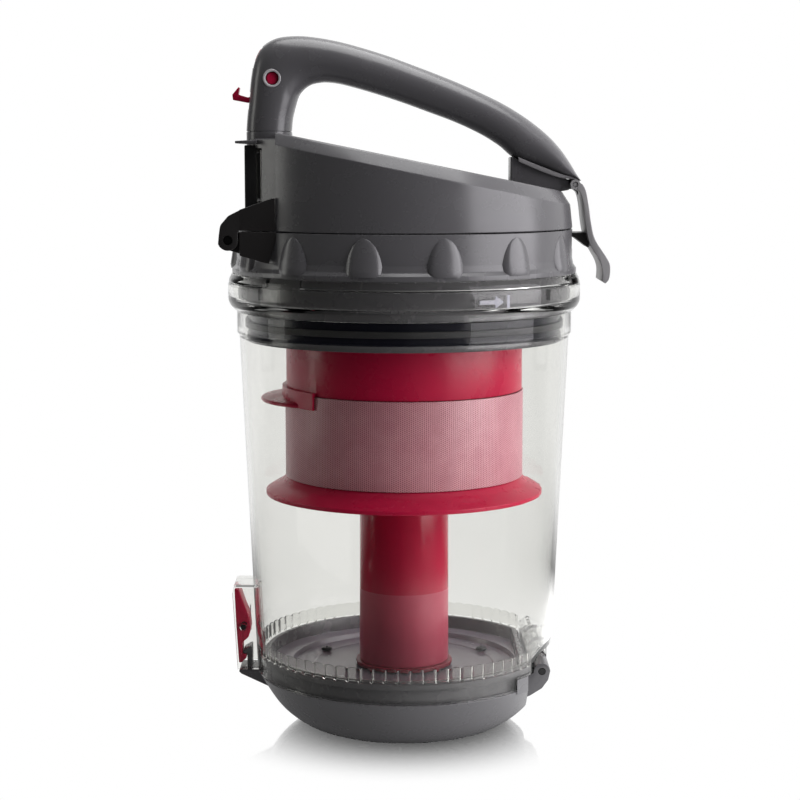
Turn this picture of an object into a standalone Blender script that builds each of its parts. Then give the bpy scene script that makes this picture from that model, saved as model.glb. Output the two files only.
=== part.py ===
"""Removable cyclone dust canister of a bagless canister vacuum cleaner.

Frame: metres, +Z up, origin on the canister's axis at the flat of its foot.
+X is the side of the lid latch, -X the side of the lid hinge and the outlet,
-Y the front. Every named object is one separate piece of the real thing.
"""

import math

import bmesh
import bpy
from mathutils import Matrix, Vector

# ---------------------------------------------------------------- driving sizes
GAP = 0.0003  # clearance kept between pieces that touch
RING = 36  # facets round the big turned pieces
FINE_RING = 96  # facets round the tools that shave pieces to the big rings
ROUND = 16  # facets round pins and screws
PIN_FIT = 0.0003  # how much wider a pin's hole is than the pin
DOOR_PIN_R = 0.0016
LATCH_PIN_R = 0.0015
LID_PIN_R = 0.0023
LID_LATCH_PIN_R = 0.0011
SCREW_R = 0.0014
SCREW_HEAD_R = 0.0030

# clear bin
BIN_BASE_Z = 0.0284
BIN_BASE_R = 0.0766
BIN_TOP_R = 0.0844
BIN_SHOULDER_Z = 0.2030
BIN_WALL = 0.0022
RIM_R = 0.0900
RIM_TOP_Z = 0.2350
RIM_LIP_R = 0.0854
RIM_GROOVE_R = 0.0876
INLET_HALF_WIDTH = 0.0170
INLET_Z = (0.1790, 0.1990)

# bottom door and its hinge
FOOT_R = 0.0380
DOOR_R = 0.0765
DOOR_TOP_Z = 0.0281
DOOR_RIM_R = 0.0720
DOOR_RIM_TOP_Z = 0.0395
DOOR_RIM_WALL = 0.0024
CHORD_X = 0.0625  # the door and its rim end here, in a straight chord
HINGE_WALL_X = 0.0632
HINGE_RISE_X = 0.0560  # past this, the bin's edge is raised so that the door can swing
HINGE_RISE_Z = 0.0348
DOOR_PIN_XZ = (0.0699, 0.0346)
DOOR_KNUCKLE_R = 0.0042
DOOR_EAR_HALF_Y = 0.0370
DOOR_LUG_Y = (0.0094, 0.0156)

# door latch
LATCH_PIN_XZ = (-0.0835, 0.0510)
LATCH_CHEEK_Y = (0.0095, 0.0115)
LATCH_LEVER_HALF_Y = 0.0060

# cyclone head
COLLAR_R = 0.0857
COLLAR_TOP_Z = 0.2572
COLLAR_SKIRT_R = 0.0849
COLLAR_LIP_R = 0.0878
SEPARATOR_R = 0.0808
SEPARATOR_Z = (0.2012, 0.2152)
SHROUD_R = 0.0607
APRON_R = (0.0616, 0.0628)
APRON_DEG = (136.0, 224.0)
APRON_FOOT_Z = 0.1690
FIN_DEG = (132.0, 213.0)
FIN_REACH = 0.0116
SCREEN_Z = (0.1311, 0.1754)
SKIRT_R = 0.0714
SKIRT_EDGE_Z = 0.1227
DUST_TUBE_R = 0.0230
DUST_TUBE_FOOT_Z = 0.0332
GRIP_PLACES = 14
BAYONET_COUNT = 3
TWIST_DEG = 18.0

# lid
LID_BASE_Z = 0.2577
LID_R = 0.0860
LID_TOP_R = 0.0845
LID_TOP_Z0 = 0.2924  # height of the sloping top at x = 0
LID_SLOPE = 0.203  # fall of the top per metre towards +X
LID_WALL = 0.0024
LID_BACK_X = -0.0620  # the round body ends here and the outlet box begins
BOX_BACK_X = -0.0780
BOX_HALF_Y = 0.0460
BOX_Z = (0.2680, 0.3020)
BOX_FLOOR_Z = 0.2604
BOX_FRAME_X = -0.0722  # the box's walls end here, behind the rubber seal
LID_PIN_XZ = (-0.0848, 0.2535)
LID_KNUCKLE_R = 0.0050
LID_ARM_Y = (0.0500, 0.0600)
LID_KNUCKLE_SPLIT_Y = 0.0551

# handle, lid latch and release lever
HANDLE_HALF_Y = 0.0140
HANDLE_FOOT_Z = 0.3063
PLINTH_HALF_Y = 0.0100
PLINTH_LINE_XZ = ((0.0541, 0.2938), (0.0805, 0.2832))
LID_LATCH_PIN_XZ = (0.0860, 0.2796)
LID_LATCH_HALF_Y = 0.0150
RELEASE_PIN_XZ = (-0.0660, 0.3323)
RELEASE_PIN_R = 0.0032
RELEASE_SLOT_HALF_Y = 0.0053
RELEASE_LEVER_HALF_Y = 0.0046
HANDLE_SCREWS_XZ = ((-0.0300, 0.3412), (0.0280, 0.3212), (0.0690, 0.2960))
SIDE_WORDS = {-1: "front", 1: "back"}

COLOURS = {  # name: (red, green, blue, alpha), roughness, metallic
    "gray_plastic": ((0.115, 0.112, 0.118, 1.0), 0.28, 0.0),
    "black_plastic": ((0.016, 0.015, 0.015, 1.0), 0.35, 0.0),
    "clear_plastic": ((0.86, 0.87, 0.86, 0.30), 0.05, 0.0),
    "red_plastic": ((0.42, 0.010, 0.045, 1.0), 0.22, 0.0),
    "screen": ((0.48, 0.22, 0.25, 1.0), 0.45, 0.0),
    "rubber": ((0.020, 0.020, 0.022, 1.0), 0.60, 0.0),
    "steel": ((0.60, 0.60, 0.61, 1.0), 0.30, 1.0),
    "foam": ((0.05, 0.05, 0.055, 1.0), 0.95, 0.0),
    "filter_media": ((0.80, 0.79, 0.75, 1.0), 0.90, 0.0),
}


# ---------------------------------------------------------------- mesh helpers
def clear_scene():
    for thing in list(bpy.data.objects):
        bpy.data.objects.remove(thing)


def material(name):
    found = bpy.data.materials.get(name)
    if found:
        return found
    colour, roughness, metallic = COLOURS[name]
    made = bpy.data.materials.new(name)
    made.use_nodes = True
    shader = made.node_tree.nodes["Principled BSDF"]
    shader.inputs["Base Color"].default_value = colour
    shader.inputs["Alpha"].default_value = colour[3]
    shader.inputs["Roughness"].default_value = roughness
    shader.inputs["Metallic"].default_value = metallic
    return made


def add_piece(name, bm, mat):
    """Turns a bmesh into a smooth-shaded object with its faces pointing out."""
    bmesh.ops.recalc_face_normals(bm, faces=bm.faces)
    mesh = bpy.data.meshes.new(name)
    bm.to_mesh(mesh)
    bm.free()
    mesh.materials.append(material(mat))
    mesh.shade_smooth()
    mesh.set_sharp_from_angle(angle=math.radians(32))
    piece = bpy.data.objects.new(name, mesh)
    bpy.context.scene.collection.objects.link(piece)
    return piece


def bridge(bm, first, second):
    """Quads between two loops with the same number of vertices."""
    count = len(first)
    for i in range(count):
        j = (i + 1) % count
        bm.faces.new((first[i], first[j], second[j], second[i]))


def turned(name, mat, profile, facets=RING):
    """Solid of revolution about Z. A profile that touches the axis at both
    ends is capped there; any other profile is a closed ring."""
    bm = bmesh.new()
    loops = []
    for radius, z in profile:
        if radius == 0:
            loops.append([bm.verts.new((0, 0, z))])
            continue
        loop = []
        for i in range(facets):
            turn = math.tau * i / facets
            loop.append(bm.verts.new((radius * math.cos(turn), radius * math.sin(turn), z)))
        loops.append(loop)
    pairs = list(zip(loops, loops[1:]))
    if len(loops[0]) > 1:
        pairs.append((loops[-1], loops[0]))
    for first, second in pairs:
        if len(first) == 1 or len(second) == 1:
            pole, loop = (first[0], second) if len(first) == 1 else (second[0], first)
            for i in range(facets):
                bm.faces.new((pole, loop[i], loop[(i + 1) % facets]))
        else:
            bridge(bm, first, second)
    return add_piece(name, bm, mat)


def prism(name, mat, outline, low_y, high_y):
    """An outline in X and Z, pushed along Y from low_y to high_y."""
    bm = bmesh.new()
    near = [bm.verts.new((x, low_y, z)) for x, z in outline]
    far = [bm.verts.new((x, high_y, z)) for x, z in outline]
    bridge(bm, near, far)
    bm.faces.new(near)
    bm.faces.new(list(reversed(far)))
    return add_piece(name, bm, mat)


def slab(name, mat, outline, low_z, high_z):
    """An outline in X and Y, pushed along Z from low_z to high_z."""
    bm = bmesh.new()
    low = [bm.verts.new((x, y, low_z)) for x, y in outline]
    high = [bm.verts.new((x, y, high_z)) for x, y in outline]
    bridge(bm, low, high)
    bm.faces.new(low)
    bm.faces.new(list(reversed(high)))
    return add_piece(name, bm, mat)


def block(name, mat, low, high):
    outline = [(low[0], low[1]), (high[0], low[1]), (high[0], high[1]), (low[0], high[1])]
    return slab(name, mat, outline, low[2], high[2])


def circle(centre, radius, facets=ROUND, start=0.0, end=360.0):
    """Points on an arc. A full circle leaves out its repeated last point."""
    whole = abs(end - start) >= 360.0
    steps = facets if whole else facets - 1
    points = []
    for i in range(facets):
        turn = math.radians(start + (end - start) * i / steps)
        points.append((centre[0] + radius * math.cos(turn), centre[1] + radius * math.sin(turn)))
    return points


def rod_y(name, mat, centre_xz, radius, low_y, high_y, facets=ROUND):
    return prism(name, mat, circle(centre_xz, radius, facets), low_y, high_y)


def apply_boolean(target, tool, operation):
    """Joins, cuts or intersects target with tool, then drops the tool."""
    step = target.modifiers.new("step", "BOOLEAN")
    step.operation = operation
    step.solver = "EXACT"
    step.object = tool
    graph = bpy.context.evaluated_depsgraph_get()
    mesh = bpy.data.meshes.new_from_object(target.evaluated_get(graph))
    target.modifiers.remove(step)
    target.data = mesh
    bpy.data.objects.remove(tool)
    mesh.shade_smooth()
    mesh.set_sharp_from_angle(angle=math.radians(32))
    return target


def join(target, *tools):
    for tool in tools:
        apply_boolean(target, tool, "UNION")
    return target


def cut(target, *tools):
    for tool in tools:
        apply_boolean(target, tool, "DIFFERENCE")
    return target


def keep_inside(target, tool):
    return apply_boolean(target, tool, "INTERSECT")


def smooth_curve(points, steps):
    """Catmull-Rom curve through the points, as a list of finer points."""
    finer = []
    last = len(points) - 1
    for i in range(last):
        p0 = Vector(points[max(i - 1, 0)])
        p1 = Vector(points[i])
        p2 = Vector(points[i + 1])
        p3 = Vector(points[min(i + 2, last)])
        for k in range(steps):
            t = k / steps
            point = 2 * p1 + (p2 - p0) * t
            point += (2 * p0 - 5 * p1 + 4 * p2 - p3) * t ** 2
            point += (3 * p1 - p0 - 3 * p2 + p3) * t ** 3
            finer.append(tuple(point * 0.5))
    finer.append(tuple(points[-1]))
    return finer


def lid_top(x):
    """Height of the lid's sloping top."""
    return LID_TOP_Z0 - LID_SLOPE * x


def coil_y(name, centre_xz, radius, wire, low_y, turns, legs):
    """Torsion spring: a helix about Y, wound from low_y, with two straight legs."""
    steps = 14
    route = [Vector(legs[0])]
    for i in range(int(turns * steps) + 1):
        turn = math.tau * i / steps
        x = centre_xz[0] + radius * math.cos(turn)
        z = centre_xz[1] + radius * math.sin(turn)
        route.append(Vector((x, low_y + 2.2 * wire * i / steps, z)))
    route.append(Vector(legs[1]))
    bm = bmesh.new()
    rings = []
    for i, point in enumerate(route):
        ahead = route[min(i + 1, len(route) - 1)] - route[max(i - 1, 0)]
        side = ahead.cross(Vector((0, 1, 0))).normalized()
        up = side.cross(ahead).normalized()
        ring = []
        for k in range(6):
            turn = math.tau * k / 6
            ring.append(bm.verts.new(point + wire * (side * math.cos(turn) + up * math.sin(turn))))
        rings.append(ring)
    for first, second in zip(rings, rings[1:]):
        bridge(bm, first, second)
    bm.faces.new(rings[0])
    bm.faces.new(list(reversed(rings[-1])))
    return add_piece(name, bm, "steel")


# ---------------------------------------------------------------- clear bin
def hinge_pocket(margin):
    """Space outside the recessed wall behind the door hinge."""
    wall_x = HINGE_WALL_X + BIN_WALL - margin
    top = 0.0440 + margin
    outline = [
        (wall_x, 0.0),
        (wall_x, top - 0.0040),
        (wall_x + 0.0035, top),
        (0.11, top + 0.0030),
        (0.11, 0.0),
    ]
    return prism("pocket", "clear_plastic", outline, -0.09, 0.09)


def bin_shell():
    outer = [
        (0, BIN_BASE_Z),
        (BIN_BASE_R, BIN_BASE_Z),
        (BIN_TOP_R, BIN_SHOULDER_Z),
        (0.0856, 0.2050),
        (0.0856, 0.2160),
        (0.0870, 0.2168),
        (0.0888, 0.2190),
        (RIM_R, 0.2215),
        (RIM_R, 0.2285),
        (0.0893, 0.2325),
        (0.0880, RIM_TOP_Z),
        (0, RIM_TOP_Z),
    ]
    inner = [
        (0, BIN_BASE_Z - 0.002),
        (BIN_BASE_R - BIN_WALL, BIN_BASE_Z - 0.002),
        (BIN_BASE_R - BIN_WALL, BIN_BASE_Z),
        (BIN_TOP_R - BIN_WALL, BIN_SHOULDER_Z),
        (0.0833, 0.2160),
        (0.0838, 0.2195),
        (RIM_GROOVE_R, 0.2225),
        (RIM_GROOVE_R, 0.2300),
        (RIM_LIP_R, 0.2310),
        (RIM_LIP_R, RIM_TOP_Z + 0.002),
        (0, RIM_TOP_Z + 0.002),
    ]
    shell = turned("clear_bin", "clear_plastic", outer)
    cut(shell, hinge_pocket(0.0))
    hollow = cut(turned("hollow", "clear_plastic", inner), hinge_pocket(BIN_WALL))
    rise = block("rise", "clear_plastic", (HINGE_RISE_X, -0.08, 0.0), (0.09, 0.08, HINGE_RISE_Z))
    return cut(shell, hollow, rise)


def bayonet_sector(half_deg, turn_deg, inner, outer, low_z, high_z):
    """A short arc-shaped block, for the collar's lugs and the rim's gaps."""
    arc_out = circle((0, 0), outer, 5, turn_deg - half_deg, turn_deg + half_deg)
    arc_in = circle((0, 0), inner, 5, turn_deg + half_deg, turn_deg - half_deg)
    return slab("sector", "gray_plastic", arc_out + arc_in, low_z, high_z)


def latch_cheek(side):
    outline = [
        (-0.0750, BIN_BASE_Z + GAP),
        (-0.0866, BIN_BASE_Z + GAP),
        (-0.0890, 0.0690),
        (-0.0880, 0.0735),
        (-0.0776, 0.0735),
    ]
    near, far = sorted((side * LATCH_CHEEK_Y[0], side * LATCH_CHEEK_Y[1]))
    return prism("cheek", "clear_plastic", outline, near, far)


def door_hinge_lug(side):
    """Clear lug that hangs from the pocket's ceiling and holds the door pin."""
    arc = circle(DOOR_PIN_XZ, 0.0038, 9, 180, 360)
    near, far = sorted((side * DOOR_LUG_Y[0], side * DOOR_LUG_Y[1]))
    return prism("lug", "clear_plastic", arc + [(0.0737, 0.0460), (0.0661, 0.0452)], near, far)


def inlet_mouth(near_y):
    """Space of the dirty air's inlet, out through the back of the bin."""
    low_z, high_z = INLET_Z
    half = INLET_HALF_WIDTH
    return block("mouth", "rubber", (-half, near_y, low_z), (half, 0.10, high_z))


def build_bin():
    shell = bin_shell()
    for side in (-1, 1):
        join(shell, latch_cheek(side), door_hinge_lug(side))
    half = LATCH_CHEEK_Y[1] - 0.0005
    join(shell, block("roof", "clear_plastic", (-0.0882, -half, 0.0716), (-0.0774, half, 0.0732)))
    cut(shell, rod_y("hole", "steel", LATCH_PIN_XZ, LATCH_PIN_R + PIN_FIT, -0.02, 0.02))
    cut(shell, rod_y("hole", "steel", DOOR_PIN_XZ, DOOR_PIN_R + PIN_FIT, -0.02, 0.02))
    for i in range(BAYONET_COUNT):
        turn = 90.0 + 360.0 * i / BAYONET_COUNT + TWIST_DEG
        cut(shell, bayonet_sector(7.5, turn, 0.0846, 0.0872, 0.2296, RIM_TOP_Z + 0.001))
    return cut(shell, inlet_mouth(0.07))


def build_inlet_seal():
    """Rubber frame round the inlet, lying on the bin's outer wall."""
    reach = 0.0035
    low_z, high_z = INLET_Z
    sheet = [(0, 0.17), (0.0864, 0.17), (0.0864, 0.21), (0, 0.21)]
    frame = turned("inlet_seal", "rubber", sheet, FINE_RING)
    width = INLET_HALF_WIDTH + reach
    keep = block("keep", "rubber", (-width, 0.06, low_z - reach), (width, 0.10, high_z + reach))
    keep_inside(frame, keep)
    wall = [(0, 0.16), (0.0835, 0.16), (0.0849, 0.2029), (0.0849, 0.22), (0, 0.22)]
    cut(frame, turned("wall", "rubber", wall, FINE_RING))
    return cut(frame, inlet_mouth(0.06))


# ---------------------------------------------------------------- bottom door
def d_outline(radius, chord_x, facets=RING):
    """Circle with its +X side cut off by a straight chord."""
    half = math.degrees(math.acos(chord_x / radius))
    return circle((0, 0), radius, facets, half, 360.0 - half)


def d_ring(name, mat, radius, chord_x, wall, low_z, high_z):
    """Upright wall that follows a circle and its chord."""
    bm = bmesh.new()
    loops = []
    for r, chord, z in (
        (radius, chord_x, low_z),
        (radius, chord_x, high_z),
        (radius - wall, chord_x - wall, high_z),
        (radius - wall, chord_x - wall, low_z),
    ):
        loops.append([bm.verts.new((x, y, z)) for x, y in d_outline(r, chord)])
    for i in range(4):
        bridge(bm, loops[i], loops[(i + 1) % 4])
    return add_piece(name, bm, mat)


def door_dome():
    side = [(FOOT_R, 0.0), (0.0480, 0.0009), (0.0560, 0.0036), (0.0665, 0.0125), (DOOR_R, DOOR_TOP_Z)]
    shell = [(0, 0.0)] + smooth_curve(side, 2)
    shell += [
        (0.0708, DOOR_TOP_Z),
        (0.0690, 0.0210),
        (0.0640, 0.0148),
        (0.0550, 0.0064),
        (FOOT_R, 0.0026),
        (0, 0.0026),
    ]
    return turned("bottom_door", "gray_plastic", shell)


def door_ear():
    """Wide ear that carries the door's three knuckles."""
    x, z = DOOR_PIN_XZ
    arc = circle(DOOR_PIN_XZ, DOOR_KNUCKLE_R, 9, 0, 180)
    outline = arc + [
        (x - DOOR_KNUCKLE_R, HINGE_RISE_Z - 0.0005),
        (CHORD_X - 0.0022, HINGE_RISE_Z - 0.0005),
        (CHORD_X - 0.0022, 0.0205),
        (0.0640, 0.0220),
        (0.0700, 0.0258),
        (0.0731, 0.0302),
    ]
    half = DOOR_EAR_HALF_Y
    ear = prism("ear", "gray_plastic", outline, -half, half)
    for side in (-1, 1):
        near, far = sorted((side * (DOOR_LUG_Y[0] - GAP), side * (DOOR_LUG_Y[1] + GAP)))
        cut(ear, block("slot", "gray_plastic", (0.0646, near, DOOR_TOP_Z + 0.0010), (0.0800, far, 0.05)))
    return cut(ear, rod_y("hole", "steel", DOOR_PIN_XZ, DOOR_PIN_R + PIN_FIT, -0.05, 0.05))


def door_shoulder():
    """Raised edge of the door that fills the bin's raised edge by the hinge."""
    top = HINGE_RISE_Z - 0.0005
    band = [(0.0724, 0.0265), (DOOR_R, 0.0265), (DOOR_R, top), (0.0724, top)]
    ring = turned("ring", "gray_plastic", band)
    near_x = HINGE_RISE_X + 0.0005
    return keep_inside(ring, block("keep", "steel", (near_x, -0.08, 0.0), (CHORD_X, 0.08, 0.05)))


def door_catch():
    """Wedge under the latch, and the tongue with the barb that the lever holds."""
    wedge = [
        (-0.0715, 0.0282),
        (-0.0858, 0.0282),
        (-0.0862, 0.0268),
        (-0.0850, 0.0256),
        (-0.0702, 0.0186),
    ]
    body = prism("wedge", "gray_plastic", wedge, -0.0092, 0.0092)
    tongue = [
        (-0.0797, 0.0270),
        (-0.0797, 0.0392),
        (-0.0806, 0.0392),
        (-0.0841, 0.0371),
        (-0.0841, 0.0358),
        (-0.0820, 0.0358),
        (-0.0820, 0.0270),
    ]
    return join(body, prism("tongue", "gray_plastic", tongue, -0.0055, 0.0055))


def build_door():
    door = door_dome()
    cut(door, block("chord", "steel", (CHORD_X, -0.09, 0.0092), (0.12, 0.09, 0.05)))
    chord = CHORD_X - 0.0012
    rim = d_ring("rim", "gray_plastic", DOOR_RIM_R, chord, DOOR_RIM_WALL, 0.0262, DOOR_RIM_TOP_Z)
    return join(door, rim, door_shoulder(), door_ear(), door_catch())


def build_door_plate():
    """Stepped floor disc inside the door's rim, cut off along the chord."""
    profile = [
        (0, 0.0286),
        (0.0600, 0.0286),
        (0.0600, 0.0312),
        (0.0694, 0.0312),
        (0.0694, 0.0332),
        (0.0580, 0.0332),
        (0.0572, 0.0306),
        (0, 0.0306),
    ]
    plate = turned("door_inner_plate", "gray_plastic", profile)
    cut(plate, block("chord", "steel", (CHORD_X - 0.0040, -0.08, 0.0), (0.1, 0.08, 0.06)))
    for x, y in door_screw_places():
        cut(plate, bore_z((x, y), SCREW_R + 0.0004, 0.02, 0.04))
    return plate


def door_screw_places():
    return circle((0, 0), 0.0480, 3, 30, 270)


def bore_z(centre, radius, low_z, high_z, facets=12):
    return slab("bore", "steel", circle(centre, radius, facets), low_z, high_z)


def screw_z(name, centre, head_z, tip_z, facing):
    """Screw along Z; facing is +1 when its head is on top."""
    shaft = slab(name, "steel", circle(centre, SCREW_R, 10), *sorted((head_z, tip_z)))
    far = head_z + facing * 0.0016
    near = head_z - facing * 0.0002
    head = slab("head", "steel", circle(centre, SCREW_HEAD_R, 12), *sorted((near, far)))
    return join(shaft, head)


# ---------------------------------------------------------------- door latch
def build_latch_lever():
    outline = [
        (-0.0884, 0.0702),
        (-0.0862, 0.0702),
        (-0.0830, 0.0610),
        (-0.0808, 0.0555),
        (-0.0802, 0.0490),
        (-0.0812, 0.0445),
        (-0.0846, 0.0415),
        (-0.0846, 0.0354),
        (-0.0824, 0.0354),
        (-0.0824, 0.0334),
        (-0.0850, 0.0308),
        (-0.0864, 0.0308),
        (-0.0876, 0.0500),
    ]
    half = LATCH_LEVER_HALF_Y
    lever = prism("door_latch_lever", "red_plastic", outline, -half, half)
    cut(lever, rod_y("hole", "steel", LATCH_PIN_XZ, LATCH_PIN_R + PIN_FIT, -0.02, 0.02))
    return lever


# ---------------------------------------------------------------- cyclone head
def grip_bump(turn_deg):
    """Bullet-shaped finger grip on the collar, widest at its foot."""
    bm = bmesh.new()
    low_z, high_z = 0.2386, 0.2550
    half = 0.0092
    rows = 5
    ring = []
    for i in range(rows):
        t = i / (rows - 1)
        width = half * math.sqrt(max(0.0, 1 - t ** 1.7)) + 0.0004
        z = low_z + (high_z - low_z) * t
        proud = COLLAR_R + 0.0030 * (1 - t) + 0.0002
        crest = bm.verts.new((proud, 0, z))
        left = bm.verts.new((COLLAR_R - 0.0009, -width, z))
        right = bm.verts.new((COLLAR_R - 0.0009, width, z))
        ring.append((left, crest, right))
    for a, b in zip(ring, ring[1:]):
        bridge(bm, a, b)
    bm.faces.new(ring[0])
    bm.faces.new(tuple(reversed(ring[-1])))
    turn = Matrix.Rotation(math.radians(turn_deg), 3, "Z")
    bmesh.ops.rotate(bm, verts=bm.verts, cent=(0, 0, 0), matrix=turn)
    return add_piece("bump", bm, "gray_plastic")


def build_collar():
    profile = [
        (0.0829, 0.2165),
        (0.0829, 0.2198),
        (COLLAR_SKIRT_R, 0.2214),
        (COLLAR_SKIRT_R, RIM_TOP_Z + GAP),
        (COLLAR_LIP_R, RIM_TOP_Z + GAP),
        (COLLAR_LIP_R, 0.2378),
        (0.0862, 0.2398),
        (COLLAR_R, 0.2425),
        (COLLAR_R, COLLAR_TOP_Z),
        (0.0812, COLLAR_TOP_Z),
        (0.0812, 0.2548),
        (0.0830, 0.2530),
        (0.0825, 0.2225),
        (0.0680, 0.2225),
        (0.0680, 0.2165),
    ]
    collar = turned("collar", "gray_plastic", profile)
    pitch = 360.0 / GRIP_PLACES
    for i in range(GRIP_PLACES - 1):  # the place at azimuth 0 is left free for the lid latch
        join(collar, grip_bump(pitch * (i + 1)))
    for i in range(BAYONET_COUNT):
        turn = 90.0 + 360.0 * i / BAYONET_COUNT
        join(collar, bayonet_sector(6.0, turn, 0.0842, 0.0869, 0.2240, 0.2290))
    cut(collar, block("window", "steel", (0.0800, -0.0130, 0.2470), (0.1000, 0.0130, 0.2559)))
    for x, y in head_screw_places():
        cut(collar, bore_z((x, y), SCREW_R + 0.0004, 0.2100, 0.2206))
    return collar


def head_screw_places():
    return circle((0, 0), 0.0760, 4, 45, 315)


def build_separator():
    low_z, high_z = SEPARATOR_Z
    profile = [
        (0.0205, low_z + 0.0028),
        (SEPARATOR_R - 0.0015, low_z + 0.0028),
        (SEPARATOR_R - 0.0015, low_z),
        (SEPARATOR_R, low_z),
        (SEPARATOR_R - 0.0005, high_z),
        (0.0205, high_z),
    ]
    plate = turned("separator_plate", "black_plastic", profile)
    for x, y in head_screw_places():
        cut(plate, bore_z((x, y), SCREW_R + 0.0004, 0.19, 0.23))
        cut(plate, bore_z((x, y), SCREW_HEAD_R + 0.0004, 0.19, low_z + 0.0056))
    return plate


def build_shroud_body():
    low_z = SCREEN_Z[1] + GAP
    high_z = SEPARATOR_Z[0] + 0.0028 - GAP
    wall = 0.0022
    body = tube("shroud_body", "red_plastic", SHROUD_R, wall, low_z, high_z)
    return join(body, shroud_fin())


def ring_slab(name, inner_r, outer_r, turns_deg, low_z, high_z):
    """Part of a flat ring. Either radius can be one number or one number for each turn."""
    outline = []
    for radii, turns in ((outer_r, turns_deg), (inner_r, turns_deg[::-1])):
        for i, turn in enumerate(turns):
            radius = radii[i] if isinstance(radii, list) else radii
            angle = math.radians(turn)
            outline.append((radius * math.cos(angle), radius * math.sin(angle)))
    return slab(name, "red_plastic", outline, low_z, high_z)


def shroud_fin():
    """Apron over the screen's upper edge, with an air guide along its foot."""
    steps = 12
    turns = [APRON_DEG[0] + (APRON_DEG[1] - APRON_DEG[0]) * i / steps for i in range(steps + 1)]
    top = SCREEN_Z[1] + 0.0021
    apron = ring_slab("apron", APRON_R[0], APRON_R[1], turns, APRON_FOOT_Z, top)
    join(apron, ring_slab("link", SHROUD_R - 0.0011, APRON_R[1], turns, SCREEN_Z[1] + GAP, top))
    turns = [FIN_DEG[0] + (FIN_DEG[1] - FIN_DEG[0]) * i / steps for i in range(steps + 1)]
    reach = []
    for i in range(steps + 1):
        fade = math.sin(math.pi * min(1.0, (i + 0.8) / (steps + 0.8))) ** 0.8
        reach.append(APRON_R[1] + 0.0002 + FIN_REACH * fade)
    middle = (APRON_R[0] + APRON_R[1]) / 2
    return join(apron, ring_slab("fin", middle, reach, turns, APRON_FOOT_Z, APRON_FOOT_Z + 0.0021))


def tube(name, mat, radius, wall, low_z, high_z, facets=RING):
    outline = [(radius, low_z), (radius, high_z), (radius - wall, high_z), (radius - wall, low_z)]
    return turned(name, mat, outline, facets)


def build_skirt():
    profile = [
        (0.0606, SCREEN_Z[0] - GAP),
        (SKIRT_R, SKIRT_EDGE_Z + 0.0008),
        (SKIRT_R, SKIRT_EDGE_Z - 0.0012),
        (0.0698, SKIRT_EDGE_Z - 0.0012),
        (0.0590, 0.1264),
        (DUST_TUBE_R + 0.0004, 0.1264),
        (DUST_TUBE_R + 0.0004, 0.1284),
        (0.0575, 0.1284),
        (0.0575, SCREEN_Z[0] - GAP),
    ]
    return turned("shroud_skirt", "red_plastic", profile)


def build_cyclone_cone():
    wall = 0.0018
    profile = [
        (DUST_TUBE_R - wall, 0.1294),
        (DUST_TUBE_R, 0.1294),
        (0.0560, 0.1740),
        (0.0560, 0.2032),
        (0.0560 - wall, 0.2032),
        (0.0560 - wall, 0.1746),
    ]
    return turned("cyclone_cone", "red_plastic", profile, 24)


def build_filters():
    turned(
        "filter_frame",
        "black_plastic",
        [
            (0.0655, 0.2480),
            (0.0800, 0.2480),
            (0.0800, 0.2505),
            (0.0632, 0.2505),
            (0.0632, 0.2250),
            (0.0300, 0.2250),
            (0.0300, 0.2228),
            (0.0655, 0.2228),
        ],
    )
    edge = 0.0020
    turned(
        "foam_filter",
        "foam",
        [
            (0, 0.2254),
            (0.0628 - edge, 0.2254),
            (0.0628, 0.2254 + edge),
            (0.0628, 0.2480 - edge),
            (0.0628 - edge, 0.2480),
            (0, 0.2480),
        ],
        32,
    )


def build_head():
    build_collar()
    build_separator()
    tube("bin_seal", "rubber", 0.0818, 0.0008, 0.2080, 0.2115)
    build_shroud_body()
    tube("shroud_screen", "screen", 0.0613, 0.0016, *SCREEN_Z)
    build_skirt()
    tube("dust_tube", "red_plastic", DUST_TUBE_R, 0.0020, DUST_TUBE_FOOT_Z, 0.1290, 24)
    build_cyclone_cone()
    tube("vortex_finder", "black_plastic", 0.0200, 0.0018, 0.1600, SEPARATOR_Z[1] - 0.0002, 24)
    build_filters()
    for i, place in enumerate(head_screw_places()):
        screw_z(f"head_screw_{i + 1}", place, SEPARATOR_Z[0] + 0.0054, 0.2200, -1)


# ---------------------------------------------------------------- lid
def sloping_body(radius, low_z, drop, chamfer, chamfer_in):
    """Upright cylinder whose top is cut to the lid's slope."""
    bm = bmesh.new()
    rows = (
        (radius + (LID_R - LID_TOP_R) * 0.8, None, low_z),
        (radius, -drop - chamfer, None),
        (radius - chamfer_in * 0.35, -drop - chamfer * 0.35, None),
        (radius - chamfer_in, -drop, None),
    )
    loops = []
    for r, below_top, z in rows:
        loop = []
        for i in range(RING):
            turn = math.tau * i / RING
            x = r * math.cos(turn)
            height = z if z is not None else lid_top(x) + below_top
            loop.append(bm.verts.new((x, r * math.sin(turn), height)))
        loops.append(loop)
    for first, second in zip(loops, loops[1:]):
        bridge(bm, first, second)
    bm.faces.new(loops[0])
    bm.faces.new(list(reversed(loops[-1])))
    return add_piece("lid_cover", bm, "gray_plastic")


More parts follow.
